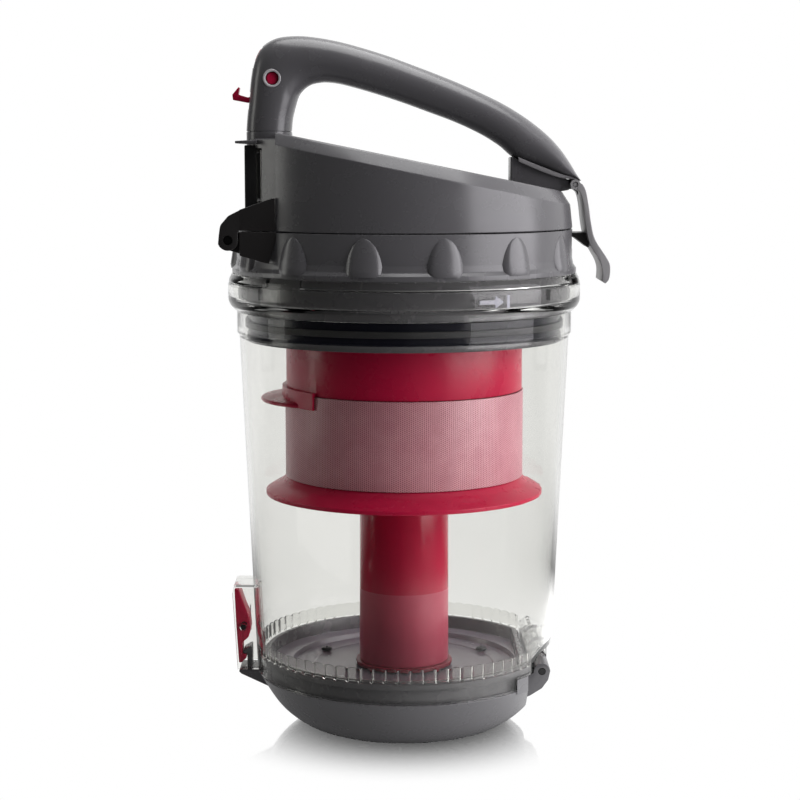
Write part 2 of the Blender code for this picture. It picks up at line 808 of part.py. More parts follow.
def lid_outer():
    body = sloping_body(LID_TOP_R, LID_BASE_Z, 0.0, 0.0060, 0.0045)
    cut(body, block("rear", "steel", (-0.10, -0.10, 0.2620), (LID_BACK_X, 0.10, 0.36)))
    high_z = BOX_Z[1]
    half = BOX_HALF_Y
    box_plan = [
        (LID_BACK_X + 0.01, -half - 0.0045),
        (LID_BACK_X + 0.01, half + 0.0045),
        (LID_BACK_X - 0.004, half),
        (BOX_FRAME_X, half),
        (BOX_FRAME_X, -half),
        (LID_BACK_X - 0.004, -half),
    ]
    join(body, slab("box", "gray_plastic", box_plan, BOX_FLOOR_Z, high_z))
    lip = [
        (-0.0715, high_z - 0.0026),
        (-0.0822, high_z - 0.0022),
        (-0.0822, high_z - 0.0010),
        (-0.0715, high_z - 0.0004),
    ]
    return join(body, prism("lip", "gray_plastic", lip, -half + 0.002, half - 0.002))


def lid_hollow():
    wall = LID_WALL
    inside = sloping_body(LID_TOP_R - wall, LID_BASE_Z - 0.002, wall + 0.0004, 0.0055, 0.0040)
    cut(inside, block("rear", "steel", (-0.10, -0.10, 0.2596), (LID_BACK_X + wall, 0.10, 0.36)))
    half = BOX_HALF_Y - wall
    low = (-0.10, -half, BOX_Z[0] + wall)
    high = (LID_BACK_X + 0.0200, half, BOX_Z[1] - 0.0044)
    return join(inside, block("duct", "steel", low, high))


def handle_column():
    """Foot of the handle's rear leg, standing on the outlet box."""
    outline = [
        (-0.0800, HANDLE_FOOT_Z - GAP),
        (-0.0801, 0.3012),
        (-0.0765, 0.2994),
        (-0.0560, 0.2994),
        (-0.0560, lid_top(-0.0560) + 0.0009),
        (-0.0572, HANDLE_FOOT_Z - GAP),
    ]
    return prism("column", "gray_plastic", outline, -HANDLE_HALF_Y, HANDLE_HALF_Y)


def plinth_top(x):
    """Underside of the handle's front end, where it stands on the lid."""
    (near_x, near_z), (far_x, far_z) = PLINTH_LINE_XZ
    return near_z - (x - near_x) * (near_z - far_z) / (far_x - near_x)


def handle_plinth():
    outline = [
        (0.0536, lid_top(0.0536) - 0.0012),
        (0.0536, plinth_top(0.0536) - GAP),
        (0.0800, plinth_top(0.0800) - GAP),
        (0.0800, 0.2765),
        (0.0765, lid_top(0.0765) - 0.0012),
    ]
    return prism("plinth", "gray_plastic", outline, -PLINTH_HALF_Y, PLINTH_HALF_Y)


def lid_latch_lug():
    """Lug on the plinth's end that carries the lid latch's pin."""
    radius = 0.0024
    z = LID_LATCH_PIN_XZ[1]
    outline = circle(LID_LATCH_PIN_XZ, radius, 7, -90, 90) + [(0.0790, z + radius), (0.0790, z - radius)]
    return prism("lug", "gray_plastic", outline, -0.0060, 0.0060)


def build_lid_cover():
    lid = lid_outer()
    cut(lid, lid_hollow())
    join(lid, handle_column(), handle_plinth(), lid_latch_lug())
    cut(lid, rod_y("hole", "steel", LID_LATCH_PIN_XZ, LID_LATCH_PIN_R + PIN_FIT, -0.02, 0.02))
    return lid


def lid_hinge_arm(side):
    """Black arm on the lid: a wedge, with its outer knuckle round the pin."""
    inner_y, outer_y = LID_ARM_Y
    wedge = [
        (-0.0792, 0.2581),
        (-0.0792, 0.2681),
        (-0.0633, 0.2737),
        (-0.0550, 0.2737),
        (-0.0550, 0.2581),
    ]
    near, far = sorted((side * inner_y, side * outer_y))
    arm = prism(f"lid_hinge_arm_{SIDE_WORDS[side]}", "black_plastic", wedge, near, far)
    arc = circle(LID_PIN_XZ, LID_KNUCKLE_R, 9, 200, 360)
    knuckle = arc + [
        (LID_PIN_XZ[0] + LID_KNUCKLE_R, 0.2581),
        (-0.0780, 0.2581),
        (-0.0780, 0.2685),
        (-0.0845, 0.2652),
        (-0.0884, 0.2607),
        (-0.0891, 0.2560),
    ]
    near, far = sorted((side * (LID_KNUCKLE_SPLIT_Y + GAP), side * (outer_y - 0.0001)))
    join(arm, prism("knuckle", "black_plastic", knuckle, near, far))
    cut(arm, rod_y("hole", "steel", LID_PIN_XZ, LID_PIN_R + PIN_FIT, -0.08, 0.08))
    shave = [(0, 0.24), (LID_R + GAP, 0.24), (LID_R + GAP, 0.31), (0, 0.31)]
    return cut(arm, turned("shave", "steel", shave, FINE_RING))


def collar_hinge_arm(side):
    """Black arm on the collar: the lower wedge, with the inner knuckle."""
    inner_y, outer_y = LID_ARM_Y
    wedge = [
        (-0.0792, 0.2576),
        (-0.0550, 0.2576),
        (-0.0550, 0.2400),
        (-0.0681, 0.2429),
        (-0.0792, 0.2462),
    ]
    near, far = sorted((side * inner_y, side * outer_y))
    arm = prism(f"collar_hinge_arm_{SIDE_WORDS[side]}", "black_plastic", wedge, near, far)
    arc = circle(LID_PIN_XZ, LID_KNUCKLE_R, 11, 75, 270)
    knuckle = arc + [(-0.0785, 0.2466), (-0.0785, 0.2570)]
    near, far = sorted((side * (inner_y + 0.0001), side * (LID_KNUCKLE_SPLIT_Y - GAP)))
    join(arm, prism("knuckle", "black_plastic", knuckle, near, far))
    cut(arm, rod_y("hole", "steel", LID_PIN_XZ, LID_PIN_R + PIN_FIT, -0.08, 0.08))
    shave = [
        (0, 0.22),
        (0.0892, 0.22),
        (0.0892, 0.2386),
        (COLLAR_R + GAP, 0.2560),
        (COLLAR_R + GAP, 0.27),
        (0, 0.27),
    ]
    return cut(arm, turned("shave", "steel", shave, FINE_RING))


def build_outlet_parts():
    low_z, high_z = BOX_Z
    half = BOX_HALF_Y
    reach = 0.0035
    low = (BOX_BACK_X, -half, low_z)
    high = (BOX_FRAME_X - GAP, half, high_z - 0.0030)
    seal = block("outlet_seal", "rubber", low, high)
    half = half - 0.0060
    mouth_low = (-0.10, -half, low_z + reach)
    mouth_high = (-0.05, half, high_z - 0.0030 - reach)
    cut(seal, block("mouth", "rubber", mouth_low, mouth_high))
    pleated_block("outlet_filter")


def pleated_block(name):
    """Paper filter folded into upright pleats, behind the outlet's mouth."""
    folds = 18
    half = BOX_HALF_Y - LID_WALL - 0.0008
    front_x, back_x = -0.0700, -0.0560
    depth = 0.0040
    outline = []
    for i in range(2 * folds + 1):
        y = -half + 2 * half * i / (2 * folds)
        x = front_x + (depth if i % 2 else 0.0)
        outline.append((x, y))
    outline += [(back_x, half), (back_x, -half)]
    low_z, high_z = BOX_Z
    return slab(name, "filter_media", outline, low_z + LID_WALL + 0.0006, high_z - 0.0055)


# ---------------------------------------------------------------- handle
def handle_outer():
    """Back and top of the handle, from the rear foot to the front tip."""
    points = [
        (-0.0800, HANDLE_FOOT_Z),
        (-0.0774, 0.3326),
        (-0.0745, 0.3445),
        (-0.0675, 0.3517),
        (-0.0545, 0.3538),
        (-0.0380, 0.3523),
        (-0.0100, 0.3445),
        (0.0221, 0.3326),
        (0.0487, 0.3207),
        (0.0674, 0.3087),
        (0.0796, 0.2968),
        (0.0873, 0.2848),
        (0.0894, 0.2812),
    ]
    return smooth_curve(points, 2)


def handle_inner():
    """Underside of the grip, from the front foot back to the rear foot."""
    points = [
        (0.0541, plinth_top(0.0541)),
        (0.0514, 0.2970),
        (0.0385, 0.3050),
        (0.0200, 0.3132),
        (-0.0030, 0.3213),
        (-0.0302, 0.3294),
        (-0.0389, 0.3307),
        (-0.0471, 0.3294),
        (-0.0522, 0.3253),
        (-0.0553, 0.3173),
        (-0.0570, HANDLE_FOOT_Z),
    ]
    return smooth_curve(points, 2)


def handle_outline():
    tip = [(0.0884, 0.2823), (0.0860, 0.2829), (0.0830, 0.2832), (0.0805, plinth_top(0.0805))]
    return handle_outer() + tip + handle_inner()


def release_slot():
    """Sector about the release pin, out through the handle's rear shoulder."""
    return [RELEASE_PIN_XZ] + circle(RELEASE_PIN_XZ, 0.0300, 7, 108, 152)


def handle_pocket():
    """Room for the release lever between the two handle halves."""
    half = RELEASE_SLOT_HALF_Y
    arm = [
        (-0.0680, 0.3320),
        (-0.0680, 0.3210),
        (-0.0760, 0.3172),
        (-0.0900, 0.3165),
        (-0.0900, 0.3248),
        (-0.0760, 0.3262),
    ]
    hub = rod_y("hub_room", "steel", RELEASE_PIN_XZ, 0.0084, -half, half)
    join(hub, prism("pad_room", "steel", release_slot(), -half + 0.0001, half - 0.0001))
    return join(hub, prism("arm_room", "steel", arm, -half + 0.0002, half - 0.0002))


def build_handle_half(side):
    name = f"handle_{SIDE_WORDS[side]}"
    near, far = sorted((side * GAP / 2, side * HANDLE_HALF_Y))
    half = prism(name, "gray_plastic", handle_outline(), near, far)
    soften = half.modifiers.new("soften", "BEVEL")
    soften.width = 0.0022
    soften.segments = 1
    soften.limit_method = "ANGLE"
    soften.angle_limit = math.radians(60)
    graph = bpy.context.evaluated_depsgraph_get()
    half.data = bpy.data.meshes.new_from_object(half.evaluated_get(graph))
    half.modifiers.clear()
    cut(half, handle_pocket())
    pin_hole = sorted((side * 0.0010, side * 0.0200))
    cut(half, rod_y("pin_hole", "steel", RELEASE_PIN_XZ, RELEASE_PIN_R + GAP, *pin_hole))
    rim_hole = sorted((side * 0.0128, side * 0.0200))
    cut(half, rod_y("rim_hole", "steel", RELEASE_PIN_XZ, 0.0047, *rim_hole))
    for centre in HANDLE_SCREWS_XZ:
        if side < 0:
            cut(half, rod_y("hole", "steel", centre, SCREW_R + PIN_FIT, -0.0076, 0.02, 10))
        else:
            cut(half, rod_y("hole", "steel", centre, SCREW_R + PIN_FIT, -0.0010, 0.02, 10))
            cut(half, rod_y("well", "steel", centre, SCREW_HEAD_R + 0.0004, 0.0112, 0.02, 12))
    return half


def build_handle_screws():
    for i, centre in enumerate(HANDLE_SCREWS_XZ):
        screw = rod_y(f"handle_screw_{i + 1}", "steel", centre, SCREW_R, -0.0070, 0.0116, 10)
        join(screw, rod_y("head", "steel", centre, SCREW_HEAD_R, 0.0115, 0.0131, 12))


def build_release_lever():
    """Red lever: hub on its pin, thumb pad in the shoulder, hook at the back."""
    half = RELEASE_LEVER_HALF_Y
    x, z = RELEASE_PIN_XZ
    lever = rod_y("release_lever", "red_plastic", RELEASE_PIN_XZ, 0.0066, -0.0028, 0.0028, 20)
    hook = [
        (-0.0690, 0.3290),
        (-0.0690, 0.3270),
        (-0.0760, 0.3212),
        (-0.0791, 0.3205),
        (-0.0866, 0.3219),
        (-0.0869, 0.3246),
        (-0.0837, 0.3284),
        (-0.0832, 0.3279),
        (-0.0838, 0.3246),
        (-0.0790, 0.3232),
        (-0.0750, 0.3244),
        (-0.0710, 0.3290),
    ]
    join(lever, prism("hook", "red_plastic", hook, -0.0026, 0.0026))
    pad = []
    for i in range(5):
        turn = math.radians(112.0 + 6.0 * i)
        reach = shoulder_reach(turn)
        pad.append((x + reach * math.cos(turn), z + reach * math.sin(turn)))
    foot = circle(RELEASE_PIN_XZ, 0.0052, 5, 136, 112)
    join(lever, prism("pad", "red_plastic", pad + foot, -half, half))
    cut(lever, rod_y("bore", "steel", RELEASE_PIN_XZ, RELEASE_PIN_R + GAP, -0.02, 0.02))
    return lever


def shoulder_reach(turn):
    """Distance from the release pin to the handle's skin, in a direction."""
    x, z = RELEASE_PIN_XZ
    direction = Vector((math.cos(turn), math.sin(turn)))
    skin = [Vector((px - x, pz - z)) for px, pz in handle_outer()]
    for first, second in zip(skin, skin[1:]):
        side_a = direction.x * first.y - direction.y * first.x
        side_b = direction.x * second.y - direction.y * second.x
        middle = first.lerp(second, 0.5)
        if side_a * side_b <= 0 and middle.dot(direction) > 0:
            share = side_a / (side_a - side_b)
            return first.lerp(second, share).length - 0.0004
    return 0.0150


# ---------------------------------------------------------------- lid latch
def build_lid_latch():
    outer = smooth_curve(
        [
            (0.0896, 0.2797),
            (0.0913, 0.2764),
            (0.0929, 0.2685),
            (0.0941, 0.2604),
            (0.0962, 0.2522),
            (0.1014, 0.2441),
            (0.1037, 0.2400),
            (0.1041, 0.2357),
            (0.1034, 0.2318),
            (0.1017, 0.2298),
        ],
        2,
    )
    inner = smooth_curve(
        [
            (0.0999, 0.2310),
            (0.1001, 0.2362),
            (0.0990, 0.2404),
            (0.0963, 0.2452),
            (0.0936, 0.2500),
            (0.0914, 0.2590),
            (0.0900, 0.2700),
            (0.0886, 0.2752),
            (0.0868, 0.2768),
        ],
        2,
    )
    half = LID_LATCH_HALF_Y
    outline = outer + inner + [(0.0868, 0.2815)]
    latch = prism("lid_latch", "gray_plastic", outline, -half, half)
    half = half - 0.0001
    join(latch, rod_y("knuckle", "gray_plastic", LID_LATCH_PIN_XZ, 0.0025, -half, half, 14))
    cut(latch, block("clevis", "steel", (0.0800, -0.0064, 0.2700), (0.0892, 0.0064, 0.2850)))
    cut(latch, rod_y("hole", "steel", LID_LATCH_PIN_XZ, LID_LATCH_PIN_R + PIN_FIT, -0.02, 0.02))
    return latch


def build_latch_barb():
    """Black hook behind the lid latch, reaching into the collar's window."""
    outline = [
        (0.0834, 0.2553),
        (0.0834, 0.2538),
        (0.0861, 0.2530),
        (0.0930, 0.2478),
        (0.0937, 0.2484),
        (0.0918, 0.2553),
    ]
    return prism("lid_latch_barb", "black_plastic", outline, -0.0110, 0.0110)


def build_pins():
    rod_y("door_hinge_pin", "steel", DOOR_PIN_XZ, DOOR_PIN_R, -0.0368, 0.0368)
    rod_y("door_latch_pin", "steel", LATCH_PIN_XZ, LATCH_PIN_R, -0.0113, 0.0113)
    for side, word in SIDE_WORDS.items():
        near, far = sorted((side * 0.0504, side * 0.0585))
        rod_y(f"lid_hinge_pin_{word}", "steel", LID_PIN_XZ, LID_PIN_R, near, far)
    rod_y("lid_latch_pin", "steel", LID_LATCH_PIN_XZ, LID_LATCH_PIN_R, -0.0145, 0.0145, 12)
    rod_y("release_pin", "red_plastic", RELEASE_PIN_XZ, RELEASE_PIN_R, -0.0122, 0.0122, 20)


def build_springs():
    wire = 0.00025
    coil = 0.0024
    x, z = LATCH_PIN_XZ
    legs = ((x + coil, 0.0064, z + 0.008), (x + coil, 0.0084, z - 0.006))
    coil_y("door_latch_spring", LATCH_PIN_XZ, coil, wire, 0.0066, 3, legs)
    coil = 0.0043
    x, z = RELEASE_PIN_XZ
    legs = ((x + coil, 0.0033, z - 0.004), (x + coil, 0.0046, z - 0.004))
    coil_y("release_spring", RELEASE_PIN_XZ, coil, wire, 0.0033, 2, legs)


def build_door_fittings():
    build_door_plate()
    d_ring("door_seal", "rubber", 0.0735, CHORD_X + 0.0003, 0.0012, 0.0353, 0.0380)
    tube("dust_tube_seal", "rubber", 0.0250, 0.0045, 0.0309, 0.0329, 32)
    for i, place in enumerate(door_screw_places()):
        screw_z(f"door_screw_{i + 1}", place, 0.0310, 0.0240, 1)


def hang_on_pivot(name, centre, axis_words, pieces, carrier=None):
    """Parents pieces to an empty on their joint's axis, without moving them."""
    pivot = bpy.data.objects.new(name, None)
    bpy.context.scene.collection.objects.link(pivot)
    pivot["axis"] = axis_words
    pivot["centre"] = centre
    pivot.location = centre
    if carrier:
        pivot.parent = carrier
        pivot.location = Vector(centre) - Vector(carrier["centre"])
    for piece in pieces:
        piece.data.transform(Matrix.Translation(-Vector(centre)))
        piece.parent = pivot
    return pivot


def pieces_named(*starts):
    meshes = [piece for piece in bpy.data.objects if piece.type == "MESH"]
    return [piece for piece in meshes if piece.name.startswith(starts)]


def on_xz(pin_xz):
    return (pin_xz[0], 0.0, pin_xz[1])


def hang_all():
    """Joints: bottom door, its latch, head twist, lid, lid latch, release."""
    hang_on_pivot(
        "bottom_door_pivot",
        on_xz(DOOR_PIN_XZ),
        "-Y",
        pieces_named("bottom_door", "door_inner", "door_seal", "door_screw", "dust_tube_seal"),
    )
    hang_on_pivot("door_latch_pivot", on_xz(LATCH_PIN_XZ), "+Y", pieces_named("door_latch_lever"))
    head = hang_on_pivot(
        "head_pivot",
        (0.0, 0.0, 0.0),
        "+Z",
        [
            piece
            for piece in pieces_named(
                "collar", "separator", "bin_seal", "shroud", "dust_tube", "cyclone", "vortex",
                "filter_frame", "foam", "head_screw",
            )
            if piece.name != "dust_tube_seal"
        ],
    )
    lid = hang_on_pivot(
        "lid_pivot",
        on_xz(LID_PIN_XZ),
        "-Y",
        [
            piece
            for piece in pieces_named("lid_", "outlet", "handle", "release_pin", "release_spring")
            if piece.name not in ("lid_latch", "lid_latch_barb")
        ],
        head,
    )
    latch = [bpy.data.objects["lid_latch"], bpy.data.objects["lid_latch_barb"]]
    hang_on_pivot("lid_latch_pivot", on_xz(LID_LATCH_PIN_XZ), "-Y", latch, lid)
    hang_on_pivot("release_pivot", on_xz(RELEASE_PIN_XZ), "-Y", pieces_named("release_lever"), lid)


def build_all():
    clear_scene()
    build_bin()
    build_inlet_seal()
    build_door()
    build_door_fittings()
    build_latch_lever()
    build_head()
    build_lid_cover()
    for side in (-1, 1):
        lid_hinge_arm(side)
        collar_hinge_arm(side)
        build_handle_half(side)
    tube("lid_seal", "rubber", 0.0828, 0.0022, LID_BASE_Z - 0.0002, 0.2592)
    build_outlet_parts()
    build_handle_screws()
    build_release_lever()
    build_lid_latch()
    build_latch_barb()
    build_pins()
    build_springs()
    hang_all()


build_all()
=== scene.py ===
"""Looks of the cyclone dust canister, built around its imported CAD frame."""

import math

import bmesh
import bpy
import numpy as np
from mathutils import Matrix, Vector


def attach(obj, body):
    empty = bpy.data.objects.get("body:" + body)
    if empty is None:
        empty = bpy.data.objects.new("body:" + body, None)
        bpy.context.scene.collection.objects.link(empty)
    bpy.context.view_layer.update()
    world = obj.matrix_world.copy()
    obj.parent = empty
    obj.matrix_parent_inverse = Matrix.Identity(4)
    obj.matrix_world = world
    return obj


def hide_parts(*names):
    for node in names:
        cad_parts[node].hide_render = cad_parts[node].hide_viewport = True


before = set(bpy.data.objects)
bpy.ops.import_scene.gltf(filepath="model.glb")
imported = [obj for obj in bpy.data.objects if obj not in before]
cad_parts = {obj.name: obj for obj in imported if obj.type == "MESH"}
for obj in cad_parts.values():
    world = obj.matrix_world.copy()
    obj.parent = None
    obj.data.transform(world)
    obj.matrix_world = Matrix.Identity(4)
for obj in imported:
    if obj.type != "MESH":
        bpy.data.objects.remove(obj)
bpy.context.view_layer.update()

SEGS = 144  # facets round the big turned pieces
SCREEN_R = 0.0613
TAU = math.tau


# ---------------------------------------------------------------- mesh helpers
def mesh_object(name, verts, faces, mat=None, uvs=None):
    mesh = bpy.data.meshes.new(name)
    mesh.from_pydata([tuple(v) for v in verts], [], faces)
    if uvs is not None:
        layer = mesh.uv_layers.new(name="wrap")
        layer.data.foreach_set("uv", np.array(uvs, np.float32).ravel())
    mesh.update()
    obj = bpy.data.objects.new(name, mesh)
    bpy.context.scene.collection.objects.link(obj)
    if mat:
        mesh.materials.append(mat)
    return obj


def smooth(obj, angle=32):
    obj.data.shade_smooth()
    obj.data.set_sharp_from_angle(angle=math.radians(angle))
    return obj


def face_out(obj):
    bm = bmesh.new()
    bm.from_mesh(obj.data)
    bmesh.ops.recalc_face_normals(bm, faces=bm.faces)
    bm.to_mesh(obj.data)
    bm.free()
    return obj


def loft(name, mat, rows, capped=True):
    """Skin over closed rows of points, capped at its two ends or joined end to end."""
    count = len(rows[0])
    faces = []
    for j in range(len(rows) - 1 if capped else len(rows)):
        m = (j + 1) % len(rows)
        for i in range(count):
            n = (i + 1) % count
            faces.append((j * count + i, j * count + n, m * count + n, m * count + i))
    if capped:
        last = (len(rows) - 1) * count
        faces += [tuple(range(count)), tuple(range(last + count - 1, last - 1, -1))]
    return face_out(mesh_object(name, [point for row in rows for point in row], faces, mat))


def filleted(points, radius, steps=4, closed=False, only=None):
    """Polyline with its corners rounded. radius is one number, or a dict by index."""
    count = len(points)
    done = []
    for i, p in enumerate(points):
        r = radius.get(i, 0.0) if isinstance(radius, dict) else radius
        ends = not closed and i in (0, count - 1)
        if r <= 0 or ends or (only is not None and i not in only):
            done.append(tuple(p))
            continue
        here = Vector(p)
        back = Vector(points[i - 1]) - here
        ahead = Vector(points[(i + 1) % count]) - here
        if back.length < 1e-7 or ahead.length < 1e-7:
            done.append(tuple(p))
            continue
        turn = back.angle(ahead)
        if turn > math.radians(174):
            done.append(tuple(p))
            continue
        reach = min(r / max(math.tan(turn / 2), 1e-3), back.length * 0.46, ahead.length * 0.46)
        a = here + back.normalized() * reach
        b = here + ahead.normalized() * reach
        for k in range(steps + 1):
            t = k / steps
            done.append(tuple(a * (1 - t) ** 2 + here * 2 * t * (1 - t) + b * t * t))
    return done


def lathe(name, mat, profile, segs=SEGS, angle=32):
    """Solid of revolution about Z with UVs in metres round and along the profile."""
    rows = []
    verts = []
    for radius, z in profile:
        if radius < 1e-9:
            rows.append([len(verts)])
            verts.append((0.0, 0.0, z))
            continue
        start = len(verts)
        for i in range(segs):
            turn = TAU * i / segs
            verts.append((radius * math.cos(turn), radius * math.sin(turn), z))
        rows.append(list(range(start, start + segs)))
    along = [0.0]
    for a, b in zip(profile, profile[1:]):
        along.append(along[-1] + math.dist(a, b))
    pairs = [(i, i + 1, along[i], along[i + 1]) for i in range(len(rows) - 1)]
    if len(rows[0]) > 1:
        last = along[-1] + math.dist(profile[-1], profile[0])
        pairs.append((len(rows) - 1, 0, along[-1], last))
    faces = []
    uvs = []
    for i, j, va, vb in pairs:
        first, second = rows[i], rows[j]
        if len(first) == 1 and len(second) == 1:
            continue
        for k in range(segs):
            n = (k + 1) % segs
            ua, ub = k / segs, (k + 1) / segs
            if len(first) == 1:
                faces.append((first[0], second[n], second[k]))
                uvs += [(ua, va), (ub, vb), (ua, vb)]
            elif len(second) == 1:
                faces.append((first[k], first[n], second[0]))
                uvs += [(ua, va), (ub, va), (ua, vb)]
            else:
                faces.append((first[k], first[n], second[n], second[k]))
                uvs += [(ua, va), (ub, va), (ub, vb), (ua, vb)]
    return smooth(face_out(mesh_object(name, verts, faces, mat, uvs)), angle)


def prism(name, mat, outline, low, high, axis="y", bevel=0.0, segments=3, angle=32):
    """Outline pushed along Y (outline in X, Z) or along Z (outline in X, Y)."""
    count = len(outline)

    def place(p, level):
        return (p[0], level, p[1]) if axis == "y" else (p[0], p[1], level)

    verts = [place(p, low) for p in outline] + [place(p, high) for p in outline]
    faces = [tuple(range(count)), tuple(range(2 * count - 1, count - 1, -1))]
    for i in range(count):
        j = (i + 1) % count
        faces.append((i, j, j + count, i + count))
    obj = face_out(mesh_object(name, verts, faces, mat))
    if bevel > 0:
        modify(obj, "BEVEL", width=bevel, segments=segments, limit_method="ANGLE",
               angle_limit=math.radians(38), miter_outer="MITER_ARC")
    return smooth(obj, angle)


def modify(obj, kind, **settings):
    """Adds a modifier, applies it to the mesh and drops it."""
    step = obj.modifiers.new("step", kind)
    for key, value in settings.items():
        setattr(step, key, value)
    graph = bpy.context.evaluated_depsgraph_get()
    mesh = bpy.data.meshes.new_from_object(obj.evaluated_get(graph))
    obj.modifiers.remove(step)
    obj.data = mesh
    return obj


def boolean(obj, tool, operation):
    modify(obj, "BOOLEAN", operation=operation, solver="EXACT", object=tool)
    bpy.data.objects.remove(tool)
    return smooth(obj)


def cut(obj, *tools):
    for tool in tools:
        boolean(obj, tool, "DIFFERENCE")
    return obj


def join(obj, *tools):
    for tool in tools:
        boolean(obj, tool, "UNION")
    return obj


def keep_inside(obj, tool):
    return boolean(obj, tool, "INTERSECT")


def merged(name, parts):
    """Several meshes as one object, each body kept whole."""
    bm = bmesh.new()
    mats = []
    for part in parts:
        for mat in part.data.materials:
            if mat not in mats:
                mats.append(mat)
    for part in parts:
        base = len(bm.faces)
        bm.from_mesh(part.data)
        bm.faces.ensure_lookup_table()
        slots = [mats.index(m) for m in part.data.materials]
        for face in bm.faces[base:]:
            face.material_index = slots[face.material_index] if slots else 0
        bpy.data.objects.remove(part)
    mesh = bpy.data.meshes.new(name)
    bm.to_mesh(mesh)
    bm.free()
    for mat in mats:
        mesh.materials.append(mat)
    obj = bpy.data.objects.new(name, mesh)
    bpy.context.scene.collection.objects.link(obj)
    return smooth(obj)


def arc(centre, radius, count, start=0.0, end=360.0):
    whole = abs(end - start) >= 360.0
    steps = count if whole else count - 1
    points = []
    for i in range(count):
        turn = math.radians(start + (end - start) * i / steps)
        points.append((centre[0] + radius * math.cos(turn), centre[1] + radius * math.sin(turn)))
    return points


def rod(name, mat, centre_xz, radius, low_y, high_y, facets=40, bevel=0.0):
    return prism(name, mat, arc(centre_xz, radius, facets), low_y, high_y, bevel=bevel)


def block(name, mat, low, high, bevel=0.0):
    outline = [(low[0], low[1]), (high[0], low[1]), (high[0], high[1]), (low[0], high[1])]
    return prism(name, mat, outline, low[2], high[2], axis="z", bevel=bevel)


def curve_through(points, steps):
    """Catmull-Rom curve through the points."""
    finer = []
    last = len(points) - 1
    for i in range(last):
        p0 = Vector(points[max(i - 1, 0)])
        p1 = Vector(points[i])
        p2 = Vector(points[i + 1])
        p3 = Vector(points[min(i + 2, last)])
        for k in range(steps):
            t = k / steps
            point = 2 * p1 + (p2 - p0) * t
            point += (2 * p0 - 5 * p1 + 4 * p2 - p3) * t ** 2
            point += (3 * p1 - p0 - 3 * p2 + p3) * t ** 3
            finer.append(tuple(point * 0.5))
    finer.append(tuple(points[-1]))
    return finer


def paint(obj, mat, chosen):
    """Gives mat to the faces whose centre passes the test."""
    if mat.name not in [m.name for m in obj.data.materials]:
        obj.data.materials.append(mat)
    index = [m.name for m in obj.data.materials].index(mat.name)
    for face in obj.data.polygons:
        if chosen(face.center, face.normal):
            face.material_index = index


def place(obj, body, slot, *nodes):
    """Hands a finished piece over to the frame, for the CAD nodes that it stands for."""
    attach(obj, body)
    if nodes:
        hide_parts(*nodes)
    return obj


def sided(side, near, far):
    """Two distances from the middle plane as a low and a high Y on one side of it."""
    return sorted((side * near, side * far))


# ---------------------------------------------------------------- materials
class Tree:
    """Short way to build a node tree."""

    def __init__(self, tree):
        self.tree = tree

    def add(self, kind, **settings):
        node = self.tree.nodes.new("ShaderNode" + kind)
        for key, value in settings.items():
            setattr(node, key, value)
        return node

    def link(self, source, target):
        self.tree.links.new(source, target)

    def math(self, operation, a, b=None, c=None):
        node = self.add("Math", operation=operation)
        for i, value in enumerate((a, b, c)):
            if value is None:
                continue
            if hasattr(value, "links"):
                self.link(value, node.inputs[i])
            else:
                node.inputs[i].default_value = value
        return node.outputs[0]

    def noise(self, scale, detail=3.0, rough=0.5, vector=None, distortion=0.0):
        node = self.add("TexNoise")
        node.inputs["Scale"].default_value = scale
        node.inputs["Detail"].default_value = detail
        node.inputs["Roughness"].default_value = rough
        node.inputs["Distortion"].default_value = distortion
        self.link(vector or self.coords(), node.inputs["Vector"])
        return node.outputs[0]

    def coords(self, kind="Object"):
        found = [n for n in self.tree.nodes if n.type == "TEX_COORD"]
        node = found[0] if found else self.add("TexCoord")
        return node.outputs[kind]

    def ramp(self, factor, stops):
        node = self.add("ValToRGB")
        ramp = node.color_ramp
        while len(ramp.elements) < len(stops):
            ramp.elements.new(0.5)
        for element, (position, colour) in zip(ramp.elements, stops):
            element.position = position
            element.color = (*colour, 1.0) if len(colour) == 3 else colour
        self.link(factor, node.inputs[0])
        return node.outputs[0]

    def span(self, factor, low, high, from_low=0.0, from_high=1.0, kind="LINEAR"):
        node = self.add("MapRange", interpolation_type=kind)
        for i, number in enumerate((from_low, from_high, low, high)):
            node.inputs[i + 1].default_value = number
        self.link(factor, node.inputs[0])
        return node.outputs[0]

    def smooth_span(self, factor, start, end, at_start, at_end):
        return self.span(factor, at_start, at_end, start, end, "SMOOTHSTEP")

    def axes(self):
        """X, Y and Z of the place on the object."""
        split = self.add("SeparateXYZ")
        self.link(self.coords("Object"), split.inputs[0])
        return split.outputs

    def mix(self, kind, factor, first, second):
        """MixShader or MixRGB of two sockets."""
        node = self.add(kind)
        for i, socket in enumerate((factor, first, second)):
            self.link(socket, node.inputs[i])
        return node.outputs[0]

    def seen_directly(self):
        """1 for camera rays and what they meet through clear parts, 0 once light has bounced."""
        rays = self.add("LightPath")
        bounces = self.math("ADD", rays.outputs["Diffuse Depth"], rays.outputs["Glossy Depth"])
        return self.math("LESS_THAN", bounces, 0.5)


